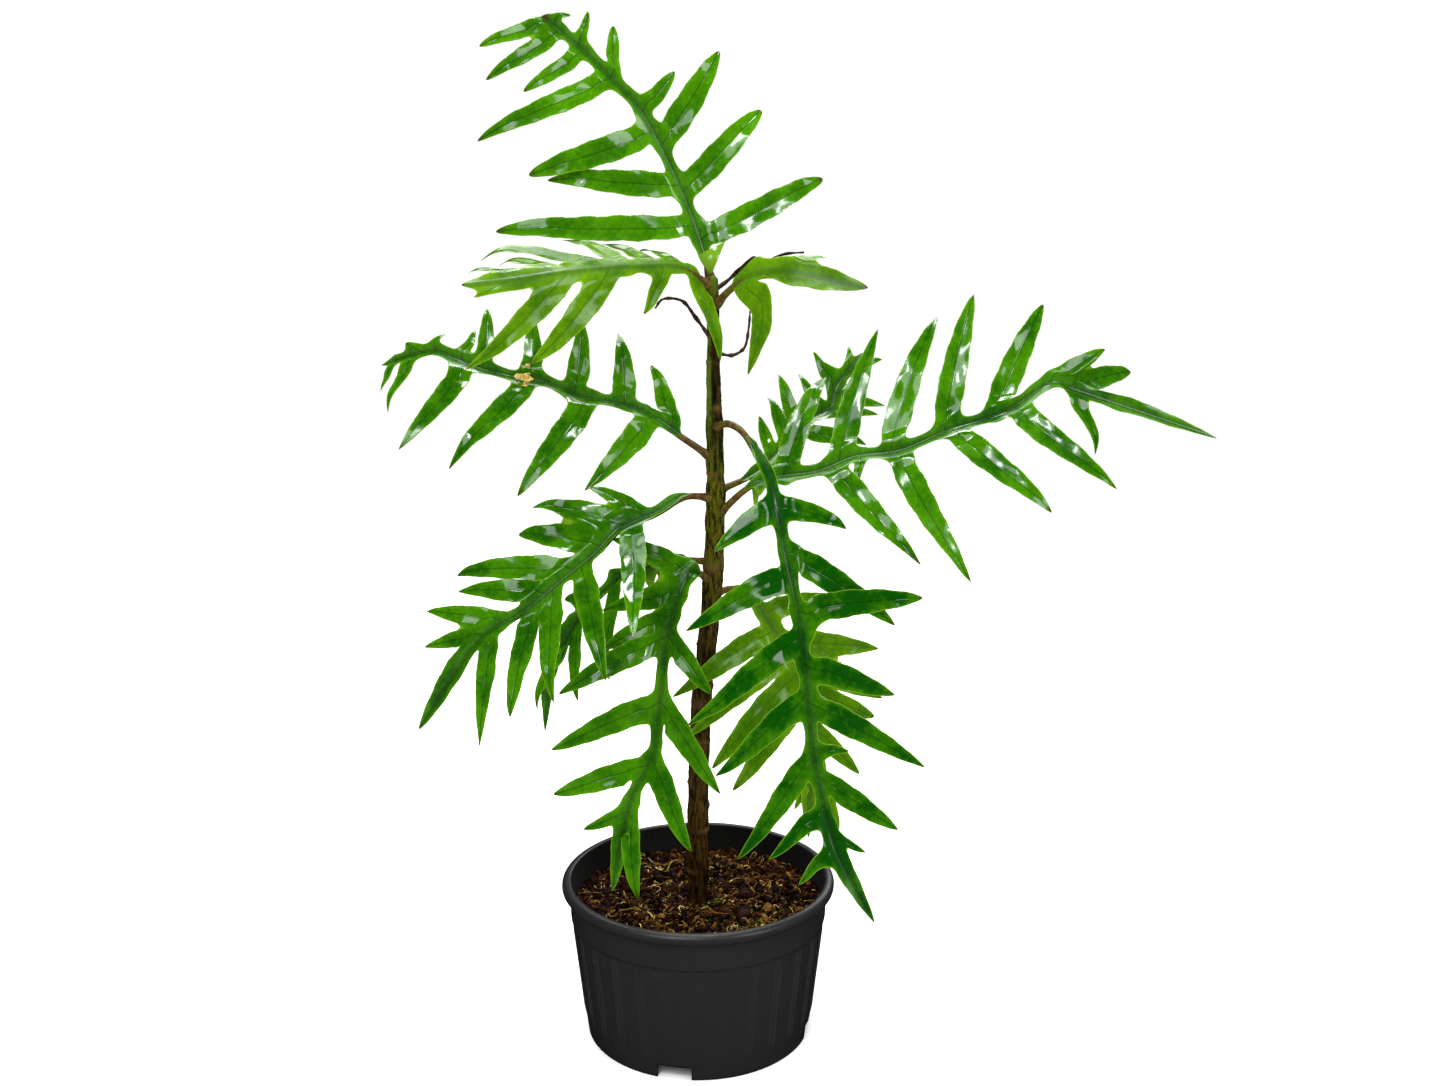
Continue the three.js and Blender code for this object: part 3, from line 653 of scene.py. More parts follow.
def bark_material():
    """A height ramp, then coats: pale blotches, dark cracks, corky scars, green partly painted
    light.
    """
    material, tree = new_material("dark bark")
    place = add_node(tree, "TexCoord").outputs["Object"]
    z = add_node(tree, "SeparateXYZ", Vector=place).outputs["Z"]
    share = arithmetic("MULTIPLY", arithmetic("SUBTRACT", z, BARK_FOOT), 1 / BARK_REACH, clamp=True)
    blotch = noise(object_place(tree, (1, 1, 0.5)), 140, 5, 0.65)
    cracks = noise(object_place(tree, (1, 1, 0.2)), 500, 5, 0.7)
    green = times(attribute(tree, "green"), value_map(blotch, 0.35, 0.55))
    colour = coat(ramp(share, BARK_STOPS), value_map(blotch, 0.52, 0.72), (0.1, 0.06, 0.012), 0.55)
    colour = coat(colour, value_map(cracks, 0.58, 0.4), (0.0015, 0.0005, 0.0001), 0.9)
    colour = coat(colour, attribute(tree, "scar"), (0.1, 0.06, 0.018), 0.5)
    # Green coat: green bark at the crown, and on the left side partly painted light from the front
    # lamps.
    colour = coat(colour, green, (0.05, 0.085, 0.003))
    height = total(times(cracks, 0.7), times(blotch, 0.5))
    rough = value_map(blotch, 0.3, 0.7, 0.42, 0.7)
    return complete(material, 0.04, colour, rough, height, 0.7, 0.0008)


bark = bark_material()

# %% [markdown]
# ## Leaves: the drawing of each one
# Each leaf is drawn as a few lengths and angles: how high it leaves the stem, its bare
# stalk, the midrib's bends in millimetres from the stem, the way its face looks at the start and
# the end, the lobe at its end and a light tone for young leaves. A lobe has its place along the
# midrib, its length and its angle, and some add a fold, an arch and a sweep of their own.

# %% Leaf drawings
LOBE_ARCH = 0.06
LOBE_SWEEP = 0.05


def plan(name, at, stalk, end, tone, face, spine, left, right, fold=(8, 8)):
    """One leaf's drawing; the midrib starts at the stem's middle."""
    return dict(name=name, at=at, stalk=stalk, end=end, tone=tone, face=face, fold=fold,
                spine=[(0, 0, 0)] + spine, left=left, right=right)


LEAVES = [
    plan("leaf_top", at=0.99, stalk=4, end=25, tone=0.6,
         face=[(0.1, -1, 0.25), (-0.1, -1, 0.45)],
         spine=[(-15, 15, 45), (-30, 20, 80), (-50, 20, 115), (-70, 20, 135), (-85, 20, 150),
                (-110, 15, 170)],
         left=[(40, 135, 75), (70, 90, 65), (110, 90, 80), (155, 100, 70), (180, 50, 75),
               (200, 60, 70), (210, 50, 60)],
         right=[(30, 95, 80), (65, 80, 65), (100, 75, 60), (125, 35, 75), (155, 35, 50),
                (185, 25, 70), (205, 15, 110)]),
    plan("leaf_crown_left", at=0.98, stalk=20, end=50, tone=0.9, fold=(-50, -15),
         face=[(0.1, -0.55, 0.83), (0.1, -0.65, 0.75)],
         spine=[(-17, -13, 13), (-50, -38, 15), (-90, -64, 12), (-125, -82, 7), (-153, -95, 4)],
         left=[(20, 62, 124, 25, 0.02, -0.05), (45, 36, 62), (85, 84, 42), (115, 92, 35),
               (155, 26, 20, 30)],
         right=[(35, 40, 85), (55, 52, 82), (75, 60, 76), (95, 78, 42), (125, 42, 55),
                (150, 34, 45)]),
    plan("leaf_crown_right", at=0.95, stalk=30, end=90, tone=0.95, fold=(12, -48),
         face=[(0.0, -0.7, 0.8), (0.0, -0.8, 0.7)],
         spine=[(20, -15, 20), (50, -35, 25), (75, -45, 20), (100, -55, 15)],
         left=[(70, 26, 45, -15)],
         right=[(40, 68, 112, 0, 0.06, -0.45)]),
    plan("leaf_left", at=0.72, stalk=35, end=25, tone=0.3,
         face=[(-0.1, -1, 0.7), (-0.2, -1, 0.7)],
         spine=[(-20, -5, 15), (-40, -10, 30), (-65, -10, 40), (-90, -15, 45), (-115, -15, 55),
                (-145, -10, 60), (-175, -10, 70), (-190, -5, 75), (-230, 5, 65)],
         left=[(55, 75, 75), (100, 90, 65), (140, 85, 65), (185, 80, 75), (225, 45, 60),
               (240, 25, 60)],
         right=[(40, 45, 40), (75, 55, 70), (110, 55, 75), (140, 50, 75), (175, 45, 75),
                (190, 25, 90), (210, 15, 105), (220, 15, 40)]),
    plan("leaf_right_big", at=0.63, stalk=35, end=110, tone=0.3,
         face=[(0.1, -1, 0.7), (0.2, -1, 0.7)],
         spine=[(25, -10, 25), (40, -10, 30), (70, -15, 35), (95, -15, 45), (125, -20, 50),
                (160, -20, 65), (195, -15, 75), (230, -10, 95), (245, -5, 90), (350, 5, 55)],
         left=[(60, 80, 65), (100, 100, 50), (135, 105, 65), (175, 100, 55), (210, 95, 45),
               (255, 50, 15), (270, 65, 35)],
         right=[(95, 95, 75), (115, 20, 100), (140, 110, 75), (180, 90, 65), (225, 90, 75),
                (270, 50, 55)]),
    plan("leaf_front", at=0.77, stalk=50, end=70, tone=-0.15,
         face=[(0.2, -0.6, 1), (0.0, -1, 0.15)],
         spine=[(10, -20, 5), (20, -30, 0), (35, -55, -25), (40, -70, -45), (45, -75, -70),
                (55, -85, -115), (60, -90, -160), (65, -95, -205), (75, -105, -250),
                (80, -110, -265), (105, -120, -310)],
         left=[(100, 50, 65), (130, 90, 45), (170, 85, 85), (205, 65, 65), (230, 90, 55),
               (260, 25, 75), (280, 65, 45), (320, 25, 50)],
         right=[(100, 55, 60), (145, 80, 75), (185, 95, 60), (225, 80, 55), (265, 85, 45),
                (300, 50, 60), (325, 35, 60)]),
    plan("leaf_right_back", at=0.67, stalk=30, end=30, tone=0.55,
         face=[(0.2, -1, 0.6), (0.3, -1, 0.5)],
         spine=[(30, 35, 10), (50, 60, 25), (65, 75, 40), (85, 85, 50), (90, 90, 65),
                (110, 100, 90)],
         left=[(65, 35, 55), (85, 40, 55), (100, 45, 55), (125, 35, 90), (145, 35, 40),
               (165, 20, 35)],
         right=[(100, 55, 60), (130, 40, 40), (145, 40, 90), (165, 30, 30)]),
    plan("leaf_mid_left", at=0.66, stalk=25, end=95, tone=0.3,
         face=[(-0.2, -0.8, 1), (-0.2, -1, 0.5)],
         spine=[(-20, -15, 5), (-40, -25, -5), (-65, -35, -15), (-80, -40, -30), (-105, -45, -50),
                (-130, -50, -70), (-155, -50, -85), (-205, -40, -155)],
         left=[(70, 100, 65), (115, 90, 70), (140, 80, 55), (155, 80, 45), (190, 80, 60)],
         right=[(60, 45, 60), (75, 70, 50), (95, 65, 60), (120, 90, 40), (145, 65, 45),
                (180, 60, 35), (195, 50, 30)]),
    plan("leaf_low_left", at=0.53, stalk=15, end=70, tone=0.35,
         face=[(-0.2, -1, 0.4), (-0.1, -1, 0.05)],
         spine=[(-15, -20, 10), (-30, -35, -30), (-35, -45, -70), (-40, -50, -110),
                (-55, -55, -140), (-70, -55, -210)],
         left=[(75, 50, 50), (120, 75, 40), (160, 70, 45), (200, 65, 20)],
         right=[(30, 60, 80), (45, 55, 60), (60, 55, 50), (75, 85, 50), (120, 85, 60),
                (165, 70, 45), (200, 35, 50)]),
    plan("leaf_behind_front", at=0.51, stalk=20, end=65, tone=0.8,
         face=[(0.2, -1, 0.7), (0.0, -1, 0.1)],
         spine=[(20, 15, 0), (40, 15, -25), (65, 10, -65), (75, 0, -110), (70, -10, -150),
                (70, -10, -180)],
         left=[(50, 55, 70), (75, 75, 50), (95, 70, 40), (115, 55, 50), (145, 45, 40),
               (170, 50, 30)],
         right=[(65, 90, 95), (85, 100, 85), (100, 95, 70), (115, 90, 55), (160, 30, 40),
                (170, 35, 15)]),
    plan("leaf_back_left", at=0.56, stalk=30, end=100, tone=0.3,
         face=[(-0.3, -0.7, 1), (-0.5, -1, 0.3)],
         spine=[(-35, 35, -5), (-70, 60, -25), (-105, 80, -65), (-125, 90, -105),
                (-135, 100, -160)],
         left=[(100, 80, 75), (155, 60, 50), (165, 80, 5)],
         right=[(125, 40, 35)]),
]

# %% [markdown]
# ## Stem: shape
# The stem leans and bends a little, tapers upwards, and swells at each leaf's joint. Ring-shaped
# scars and small bumps break its outline. It is a circle carried along the stem's path, with the
# radius worked out from the height and the turn around the stem.

# %% Stem
STEM_HEIGHT = 453.0
STEM_BENDS = [
    (0, 0, 0), (0.17, 0, 0), (0.34, 3, 0), (0.5, 10, 0),
    (0.66, 13, 0), (0.82, 12, 0), (0.92, 11.5, 0), (1, 11, 0),
]
STEM_PATH = smooth_curve([(x, y, at * STEM_HEIGHT) for at, x, y in STEM_BENDS], 40)

# Old leaf scars: share of the height, facing in degrees round the stem, and size.
STEM_SCARS = [
    (0.05, 200, 0.5), (0.12, -30, 0.7), (0.16, 20, 1.0), (0.2, 190, 0.6), (0.27, -60, 0.6),
    (0.335, -100, 1.3), (0.36, 10, 0.8), (0.43, 150, 0.6), (0.47, -80, 0.7), (0.553, -95, 1.2),
    (0.6, 30, 0.7), (0.7, -130, 0.6), (0.8, -60, 0.5), (0.87, 200, 0.4),
]


def stem_centre(share):
    """The stem's middle at a share of its height above the soil."""
    z = share * STEM_HEIGHT
    x, y = (np.interp(z, STEM_PATH[:, 2], STEM_PATH[:, i]) for i in range(2))
    return np.stack([x, y, SOIL_TOP + z], axis=-1)


def stem_radius(share):
    """Taper in two straight stretches, plus a bell-shaped swelling of 0.8 mm at each leaf joint."""
    radius = np.interp(share, (0, 0.66, 1), (8, 6.2, 3.2))
    swell = np.zeros_like(share)
    for leaf in LEAVES:
        swell = np.maximum(swell, 0.8 * np.exp(-(((share - leaf["at"]) * STEM_HEIGHT / 9) ** 2)))
    return radius + swell


def build_stem():
    """Circles up the path; rings at old scars, lengthwise ridges and bumps change their radius."""
    rows, columns = 620, 72
    share = np.linspace(-0.045, 1.0, rows)
    centre = stem_centre(share)
    radius = stem_radius(np.clip(share, 0, 1))
    turn = np.linspace(0, 2 * math.pi, columns, endpoint=False)
    round_off = np.sqrt(np.clip((1.0 - share) * STEM_HEIGHT / 3.0, 0, 1))
    ring = np.stack([np.cos(turn), np.sin(turn), 0 * turn], axis=1)
    points = centre[:, None] + (radius * round_off)[:, None, None] * ring[None]
    flat = points.reshape(-1, 3)
    outward = np.broadcast_to(ring[None], points.shape).reshape(-1, 3)
    squeezed = flat * np.array([1, 1, 0.22])
    relief = (0.3 * wave_noise(flat, 26, 31) + 0.22 * wave_noise(squeezed, 3.4, 32)
              + 0.12 * wave_noise(flat, 2.4, 33))
    scar = np.zeros((rows, columns))
    for at, facing, size in STEM_SCARS:
        along = (share - at) * STEM_HEIGHT
        across = (turn - math.radians(facing) + math.pi) % (2 * math.pi) - math.pi
        patch = np.exp(-(along[:, None] / (3.2 * size)) ** 2 - (across[None] / 1.0) ** 2)
        scar = np.maximum(scar, patch)
        ringed = np.exp(-(along[:, None] / 1.1) ** 2)
        ringed = ringed * (0.35 + 0.65 * np.exp(-(across[None] / 1.6) ** 2))
        relief += (0.9 * size * patch + 0.35 * ringed).ravel()
    flat = flat + outward * (relief * np.repeat(round_off, columns))[:, None]
    # Partly painted light: the green stripe faces the front-left lamps, beside the real green at
    # the crown.
    side = np.clip(-np.tile(np.cos(turn - math.radians(20)), rows), 0, 1)
    each = np.repeat(share, columns)
    green = np.maximum(ease(0.72, 0.8, each) * ease(0.45, 0.9, side), ease(0.95, 1.0, each))
    values = {"scar": np.append(scar.ravel(), [0, 0]), "green": np.append(green, [0, 1])}
    points = np.vstack([flat, centre[:1], centre[-1:]])
    return add_piece("stem", points, ringed_faces(rows, columns), [bark], values)


finish_piece(build_stem(), "bark", "stem")

# %% [markdown]
# ## Leaves: colour and gloss
# The leaves are thick, waxy and wet-looking. The blade is deep green, with a dark vein down each
# lobe and faint side veins; a painted shade darkens the blade beside the midrib, and a painted rim
# light makes it paler and yellower near the margin. The shine has to stay broad and smooth, so the
# bump is slight and slow. Two materials share one group of nodes: the mature leaves and the young,
# yellow-green ones.

# %% Leaf pattern group
def leaf_pattern_group():
    """Deep to bright green by soft clouds; veins, painted rib shade, painted rim light, dry tip,
    underside.
    """
    group = bpy.data.node_groups.new("leaf pattern", "ShaderNodeTree")
    sockets = [(name, "INPUT", "Color") for name in ("Deep", "Bright", "Rim", "Under", "Vein")]
    sockets += [("Color", "OUTPUT", "Color"), ("Roughness", "OUTPUT", "Float"),
                ("Height", "OUTPUT", "Float")]
    for name, way, kind in sockets:
        group.interface.new_socket(name, in_out=way, socket_type="NodeSocket" + kind)
    given = group.nodes.new("NodeGroupInput").outputs
    result = group.nodes.new("NodeGroupOutput").inputs
    place = object_place(group)
    cloud, mottle, soft = noise(place, 38), noise(place, 300), noise(place, 60, 0)
    tone, margin, under = (attribute(group, name) for name in ("tone", "margin", "under"))
    young = value_map(tone, 0.7, 0.8)
    phase = total(attribute(group, "phase"), value_map(mottle, 0.2, 0.8, -0.35, 0.35))
    wave = arithmetic("ABSOLUTE", arithmetic("SUBTRACT", arithmetic("FRACT", phase), 0.5))
    side_vein = value_map(wave, 0.42, 0.5)
    across = arithmetic("ABSOLUTE", attribute(group, "vein"))
    lobe_vein = times(value_map(across, 0.75, 0.25), attribute(group, "core"))
    from_rib = arithmetic("ABSOLUTE", attribute(group, "rib"))
    # The margin term here is part of the painted rim light: it lifts the green within 3.5 mm of the
    # edge.
    light = total(value_map(cloud, 0.36, 0.64, -0.1, 0.4), value_map(mottle, 0.4, 0.7, 0.0, 0.22),
                  times(tone, 0.7), times(young, -0.42), times(value_map(margin, 3.5, 0.4), 0.2),
                  clamp=True)
    dry_tip = times(value_map(attribute(group, "reach"), 0.93, 1.0),
                    value_map(mottle, 0.3, 0.6, 0.4, 1.0))
    colour = coat(given["Deep"], light, given["Bright"])
    # Painted rim light: the Rim colour coats the last 0.7 mm in from the margin.
    # Painted shade: the blade within 2.6 mm of the midrib is darkened with the vein colour, as
    # shade in its groove.
    for share, over, strength in (
            (side_vein, given["Vein"], 0.36), (value_map(from_rib, 2.6, 0.8), given["Vein"], 0.4),
            (lobe_vein, given["Vein"], 0.5), (value_map(margin, 0.7, 0.15), given["Rim"], 0.85),
            (dry_tip, (0.035, 0.016, 0.004), 0.85), (under, given["Under"], 0.7)):
        colour = coat(colour, share, over, strength)
    rough = total(value_map(soft, 0.3, 0.7, 0.08, 0.13), times(under, 0.25),
                  value_map(from_rib, 6.0, 3.0, 0.0, 0.14), times(young, 0.06))
    height = total(times(side_vein, -0.03), times(soft, 0.4), times(mottle, 0.05),
                   times(lobe_vein, -0.5))
    for name, value in (("Color", colour), ("Roughness", rough), ("Height", height)):
        feed(result[name], value)
    return group


leaf_pattern = leaf_pattern_group()


def leaf_material(name, shine, **colours):
    """The shared pattern with its own colours and its own share of mirror shine."""
    material, tree = new_material(name)
    pattern = add_node(tree, "Group")
    pattern.node_tree = leaf_pattern
    for socket, colour in colours.items():
        pattern.inputs[socket].default_value = (*colour, 1)
    colour, roughness, height = (pattern.outputs[name] for name in ("Color", "Roughness", "Height"))
    return complete(material, shine, colour, roughness, height, 0.35, 0.0005)


# Rim is the colour of the painted rim light on each leaf's margin.
mature_leaf = leaf_material(
    "mature leaf", 0.34, Deep=(0.0018, 0.042, 0.0003), Bright=(0.044, 0.168, 0.0006),
    Rim=(0.11, 0.22, 0.008), Under=(0.03, 0.1, 0.006), Vein=(0.0015, 0.02, 0.0006))
young_leaf = leaf_material(
    "young leaf", 0.2, Deep=(0.02, 0.078, 0.0004), Bright=(0.085, 0.2, 0.0008),
    Rim=(0.15, 0.26, 0.008), Under=(0.06, 0.13, 0.006), Vein=(0.012, 0.05, 0.0008))

# %% Stalk material
STALK_STOPS = [
    (0.0, (0.05, 0.026, 0.004)), (0.05, (0.085, 0.062, 0.004)), (0.12, (0.035, 0.04, 0.002)),
    (0.24, (0.012, 0.02, 0.001)), (1.0, (0.007, 0.03, 0.001)),
]


def stalk_material():
    """Stalks and midribs: brown at the stem, olive, then green; yellow-green on young leaves."""
    material, tree = new_material("leaf stalk")
    streak = noise(object_place(tree), 260, 4)
    share = total(attribute(tree, "along"), value_map(streak, 0.3, 0.7, -0.08, 0.08))
    fresh = times(value_map(attribute(tree, "tone"), 0.7, 0.8), value_map(share, 0.05, 0.25))
    colour = coat(ramp(share, STALK_STOPS), fresh, (0.05, 0.12, 0.0015))
    rough = value_map(streak, 0.3, 0.7, 0.3, 0.45)
    return complete(material, 0.22, colour, rough, streak, 0.3, 0.0004)


leaf_stalk = stalk_material()

# %% [markdown]
# ## Leaves: shape
# A leaf is drawn flat first, with its midrib straight up the middle. Each lobe is a long tapered
# blade that leaves the midrib at its own angle. A field gives every point's distance from the
# nearest outline, and blending the distances softly rounds the corners between lobes, as a leaf
# has them. Grid cells inside the outline become the blade, and their outer points are pulled
# onto the outline. Lobes that cross each other in the air would run together on the flat plan,
# so the plan fans them out first.

# %% Leaf outline
CELL = 0.95  # between grid points
WING = 4.6  # half the web along the midrib
LOBE_WIDTH = 8.9  # half the widest lobe
FULLEST = 0.22  # share of a lobe's length where the taper starts
PLAN_GAP = 1.5  # between neighbouring lobes on the flat plan


def lobe_width(length):
    """Half the width of a lobe: 1.8 mm plus 0.11 of its length, up to the widest."""
    return min(LOBE_WIDTH, 1.8 + 0.11 * length)


def lobe_taper(t, blunt):
    """Share of the full width: 0.7 at the base, 1 at three tenths, then (1 - u^p)^q to the tip."""
    t = np.clip(t, 0, 1)
    rise = 0.7 + 0.3 * np.sin(math.pi / 2 * np.minimum(1, t / 0.3))
    u = np.clip((t - FULLEST) / (1 - FULLEST), 0, 1)
    return rise * (1 - u ** (1.25 + 1.2 * blunt)) ** (0.9 - 0.33 * blunt)


def new_lobe(side, station, reach, angle, fold=0, arch=LOBE_ARCH, sweep=LOBE_SWEEP):
    """One lobe, which starts on the flat plan at its true angle."""
    return dict(side=side, station=station, reach=reach, angle=angle, plan=angle, fold=fold,
                arch=arch, sweep=sweep, width=lobe_width(reach))


def flat_lobes(leaf, length, pick):
    """The lobes of both sides and the leaf's end as the last one, each a little different.

    Widths shrink towards the leaf's end; bluntness, curl and ripple come from random draws.
    """
    lobes = [new_lobe(side, *row) for side, rows in ((-1, leaf["left"]), (1, leaf["right"]))
             for row in rows]
    lobes.append(new_lobe(0, length - leaf["end"], leaf["end"], 0, 0, 0, 0))
    least = 0.6 if leaf["name"] == "leaf_top" else 0.2  # the top leaf's lobes are blunter
    for lobe in lobes:
        lobe["blunt"] = least + pick.uniform(0.0, 0.5)
        lobe["width"] *= 1.02 - 0.34 * float(ease(0.5, 1.0, lobe["station"] / length))
        lobe["curl"] = pick.uniform(1.0, 9.0) * min(1, lobe["reach"] / 70) * (1 + least)
        lobe["shift"] = pick.uniform(0, 6.3)
    return lobes


def fan_out(lobes):
    """Turns neighbouring lobes apart on the plan, degree by degree, until they are clear."""
    for side in (-1, 1):
        row = [lobe for lobe in lobes if lobe["side"] == side]
        row = sorted(row, key=lambda lobe: lobe["station"]) + [lobes[-1]]
        for _ in range(90):
            for low, high in zip(row[:-1], row[1:]):
                out = np.linspace(min(13, 0.5 * high["reach"]), min(low["reach"], high["reach"]), 8)
                a, b = math.radians(low["plan"]), math.radians(high["plan"])
                gap = np.hypot(out * (math.sin(a) - math.sin(b)),
                               low["station"] - high["station"] + out * (math.cos(a) - math.cos(b)))
                widths = [lobe["width"] * lobe_taper(out / lobe["reach"], lobe["blunt"])
                          for lobe in (low, high)]
                need = widths[0] + widths[1] + PLAN_GAP
                if (gap < need).any() or low["plan"] < high["plan"]:
                    low["plan"] = min(low["plan"] + 1.0, 150)
                    if high["side"]:
                        high["plan"] = max(high["plan"] - 1.0, 16)
    for lobe in lobes:
        turn = math.radians(lobe["plan"])
        lobe["ahead"] = np.array([lobe["side"] * math.sin(turn), math.cos(turn)])


def lobe_place(lobe, x, y):
    """Flat points on a lobe: share of its length, distances across and along, and past its ends."""
    ahead = lobe["ahead"]
    ry = y - lobe["station"]
    t = (x * ahead[0] + ry * ahead[1]) / lobe["reach"]
    beyond = np.maximum(np.maximum(t - 1, -t), 0) * lobe["reach"]
    return t, x * ahead[1] - ry * ahead[0], t * lobe["reach"], beyond


def outline_field(leaf, length, lobes, x, y):
    """Soft distance to the outline, negative inside: -b log(sum exp(-d/b)) of lobes and web."""
    blend = 2.2 - 1.1 * ease(6, 20, np.abs(x))
    shoulder = 0.62 * leaf["stalk"]
    wing = WING * ease(shoulder, leaf["stalk"] + 14, y) * (1 + 0.1 * np.sin(y / 5.3 + np.sign(x)))
    stalk = 20 * (y < shoulder) + np.maximum(0, y - length + leaf["end"])
    total = np.exp(-(np.abs(x) - wing + stalk) / blend)
    for lobe in lobes:
        t, across, run, beyond = lobe_place(lobe, x, y)
        side = lobe["shift"] + np.sign(across)
        ripple = 1 + 0.035 * np.sin(run / 3.1 + side) + 0.012 * np.sin(run / 1.1 + 2 * side)
        edge = np.hypot(across, beyond) - lobe["width"] * lobe_taper(t, lobe["blunt"]) * ripple
        total = total + np.exp(-np.minimum(edge, 60) / blend)
    return -blend * np.log(total)


def cut_out(leaf, length, lobes):
    """Grid triangles inside the outline, with the outer points moved down the field onto it."""
    tips = np.array([lobe["ahead"] * lobe["reach"] + (0, lobe["station"]) for lobe in lobes])
    low, high = tips.min(axis=0) - 14, tips.max(axis=0) + 8
    xs = np.arange(low[0], high[0], CELL)
    ys = np.arange(min(low[1], 0.6 * leaf["stalk"]), high[1], CELL)
    x, y = np.meshgrid(xs, ys)
    x, y = x.ravel(), y.ravel()
    inside = outline_field(leaf, length, lobes, x, y) < 0
    quads = grid_faces(len(ys), len(xs))
    quads = quads[inside[quads].any(axis=1)]
    used, index = np.unique(quads, return_inverse=True)
    x, y = x[used], y[used]
    quads = index.reshape(quads.shape)
    step = 0.05
    for _ in range(6):
        f = outline_field(leaf, length, lobes, x, y)
        gx = (outline_field(leaf, length, lobes, x + step, y) - f) / step
        gy = (outline_field(leaf, length, lobes, x, y + step) - f) / step
        push = np.where(f > 0, f / np.maximum(gx * gx + gy * gy, 0.15), 0)
        x, y = x - 0.95 * push * gx, y - 0.95 * push * gy
    spot = np.round(np.stack([x, y], axis=1) / 0.1).astype(int)
    _, first, merged = np.unique(spot, axis=0, return_index=True, return_inverse=True)
    triangles = merged.ravel()[as_triangles(quads)]
    a, b, c = triangles.T
    triangles = triangles[(a != b) & (b != c) & (c != a)]
    x, y = x[first], y[first]
    a, b, c = triangles.T
    area = (x[b] - x[a]) * (y[c] - y[a]) - (x[c] - x[a]) * (y[b] - y[a])
    return x, y, triangles[area > 1e-4]

# %% [markdown]
# The flat blade is bent by mixing surfaces. Each lobe's surface is its middle curve plus the
# distance across it, and the midrib's surface is the midrib's curve plus the distance out to
# either side, folded up or down a little. The midrib lies in a shallow groove, the blade swells
# in slow waves, the margins ripple and the tips of the lobes curl down.

# %% Leaf bending
VEIN_GAP = 6.5  # between side veins
SOFTNESS = 1.8  # how far one lobe's surface runs into the next
SWELL = 0.75


def leaf_frames(leaf):
    """The midrib's curve with its directions: along, out of the face, and to the right."""
    path = smooth_curve(np.array(leaf["spine"], float) + stem_centre(leaf["at"]), 30)
    at = lengths_along(path)
    even = np.linspace(0, at[-1], 240)
    path = sample(path, at, even)
    along = unit(np.gradient(path, axis=0))
    share = (even / even[-1])[:, None]
    first, last = (unit(np.array(hint, float)) for hint in leaf["face"])
    face = first * (1 - share) + last * share
    face = unit(face - (face * along).sum(axis=1, keepdims=True) * along)
    return even, path, along, face, np.cross(along, face)


def half_directions(leaf, frames, stations, side, extra=0.0):
    """Outward and upward directions of half a blade, turned about the midrib by its fold."""
    even, _, _, face, right = frames
    face, right = sample(face, even, stations), sample(right, even, stations)
    fold = np.radians(np.where(side < 0, leaf["fold"][0], leaf["fold"][1]) + extra)[:, None]
    side = side[:, None]
    outward = np.cos(fold) * side * right + np.sin(fold) * face
    normal = np.cos(fold) * face - np.sin(fold) * side * right
    return unit(outward), unit(normal)


def lobe_surface(leaf, frames, lobe, t, across):
    """Points and normals on one lobe: a quadratic curve plus the distance across it."""
    even, path, along = frames[:3]
    at = np.array([lobe["station"]], float)
    base = sample(path, even, at)[0]
    forward = unit(sample(along, even, at)[0])
    halves = half_directions(leaf, frames, at, np.array([lobe["side"]]), lobe["fold"])
    outward, normal = (half[0] for half in halves)
    turn, length = math.radians(lobe["angle"]), lobe["reach"]
    reach = length * (math.cos(turn) * forward + math.sin(turn) * outward)
    bend = base + reach / 2 + lobe["arch"] * length * normal - lobe["sweep"] * length * forward
    t = t[:, None]
    points = (1 - t) ** 2 * base + 2 * t * (1 - t) * bend + t ** 2 * (base + reach)
    heading = unit(2 * (1 - t) * (bend - base) + 2 * t * (base + reach - bend))
    right = unit(np.cross(heading, normal))
    up = np.cross(right, heading)
    return points + across[:, None] * right, up


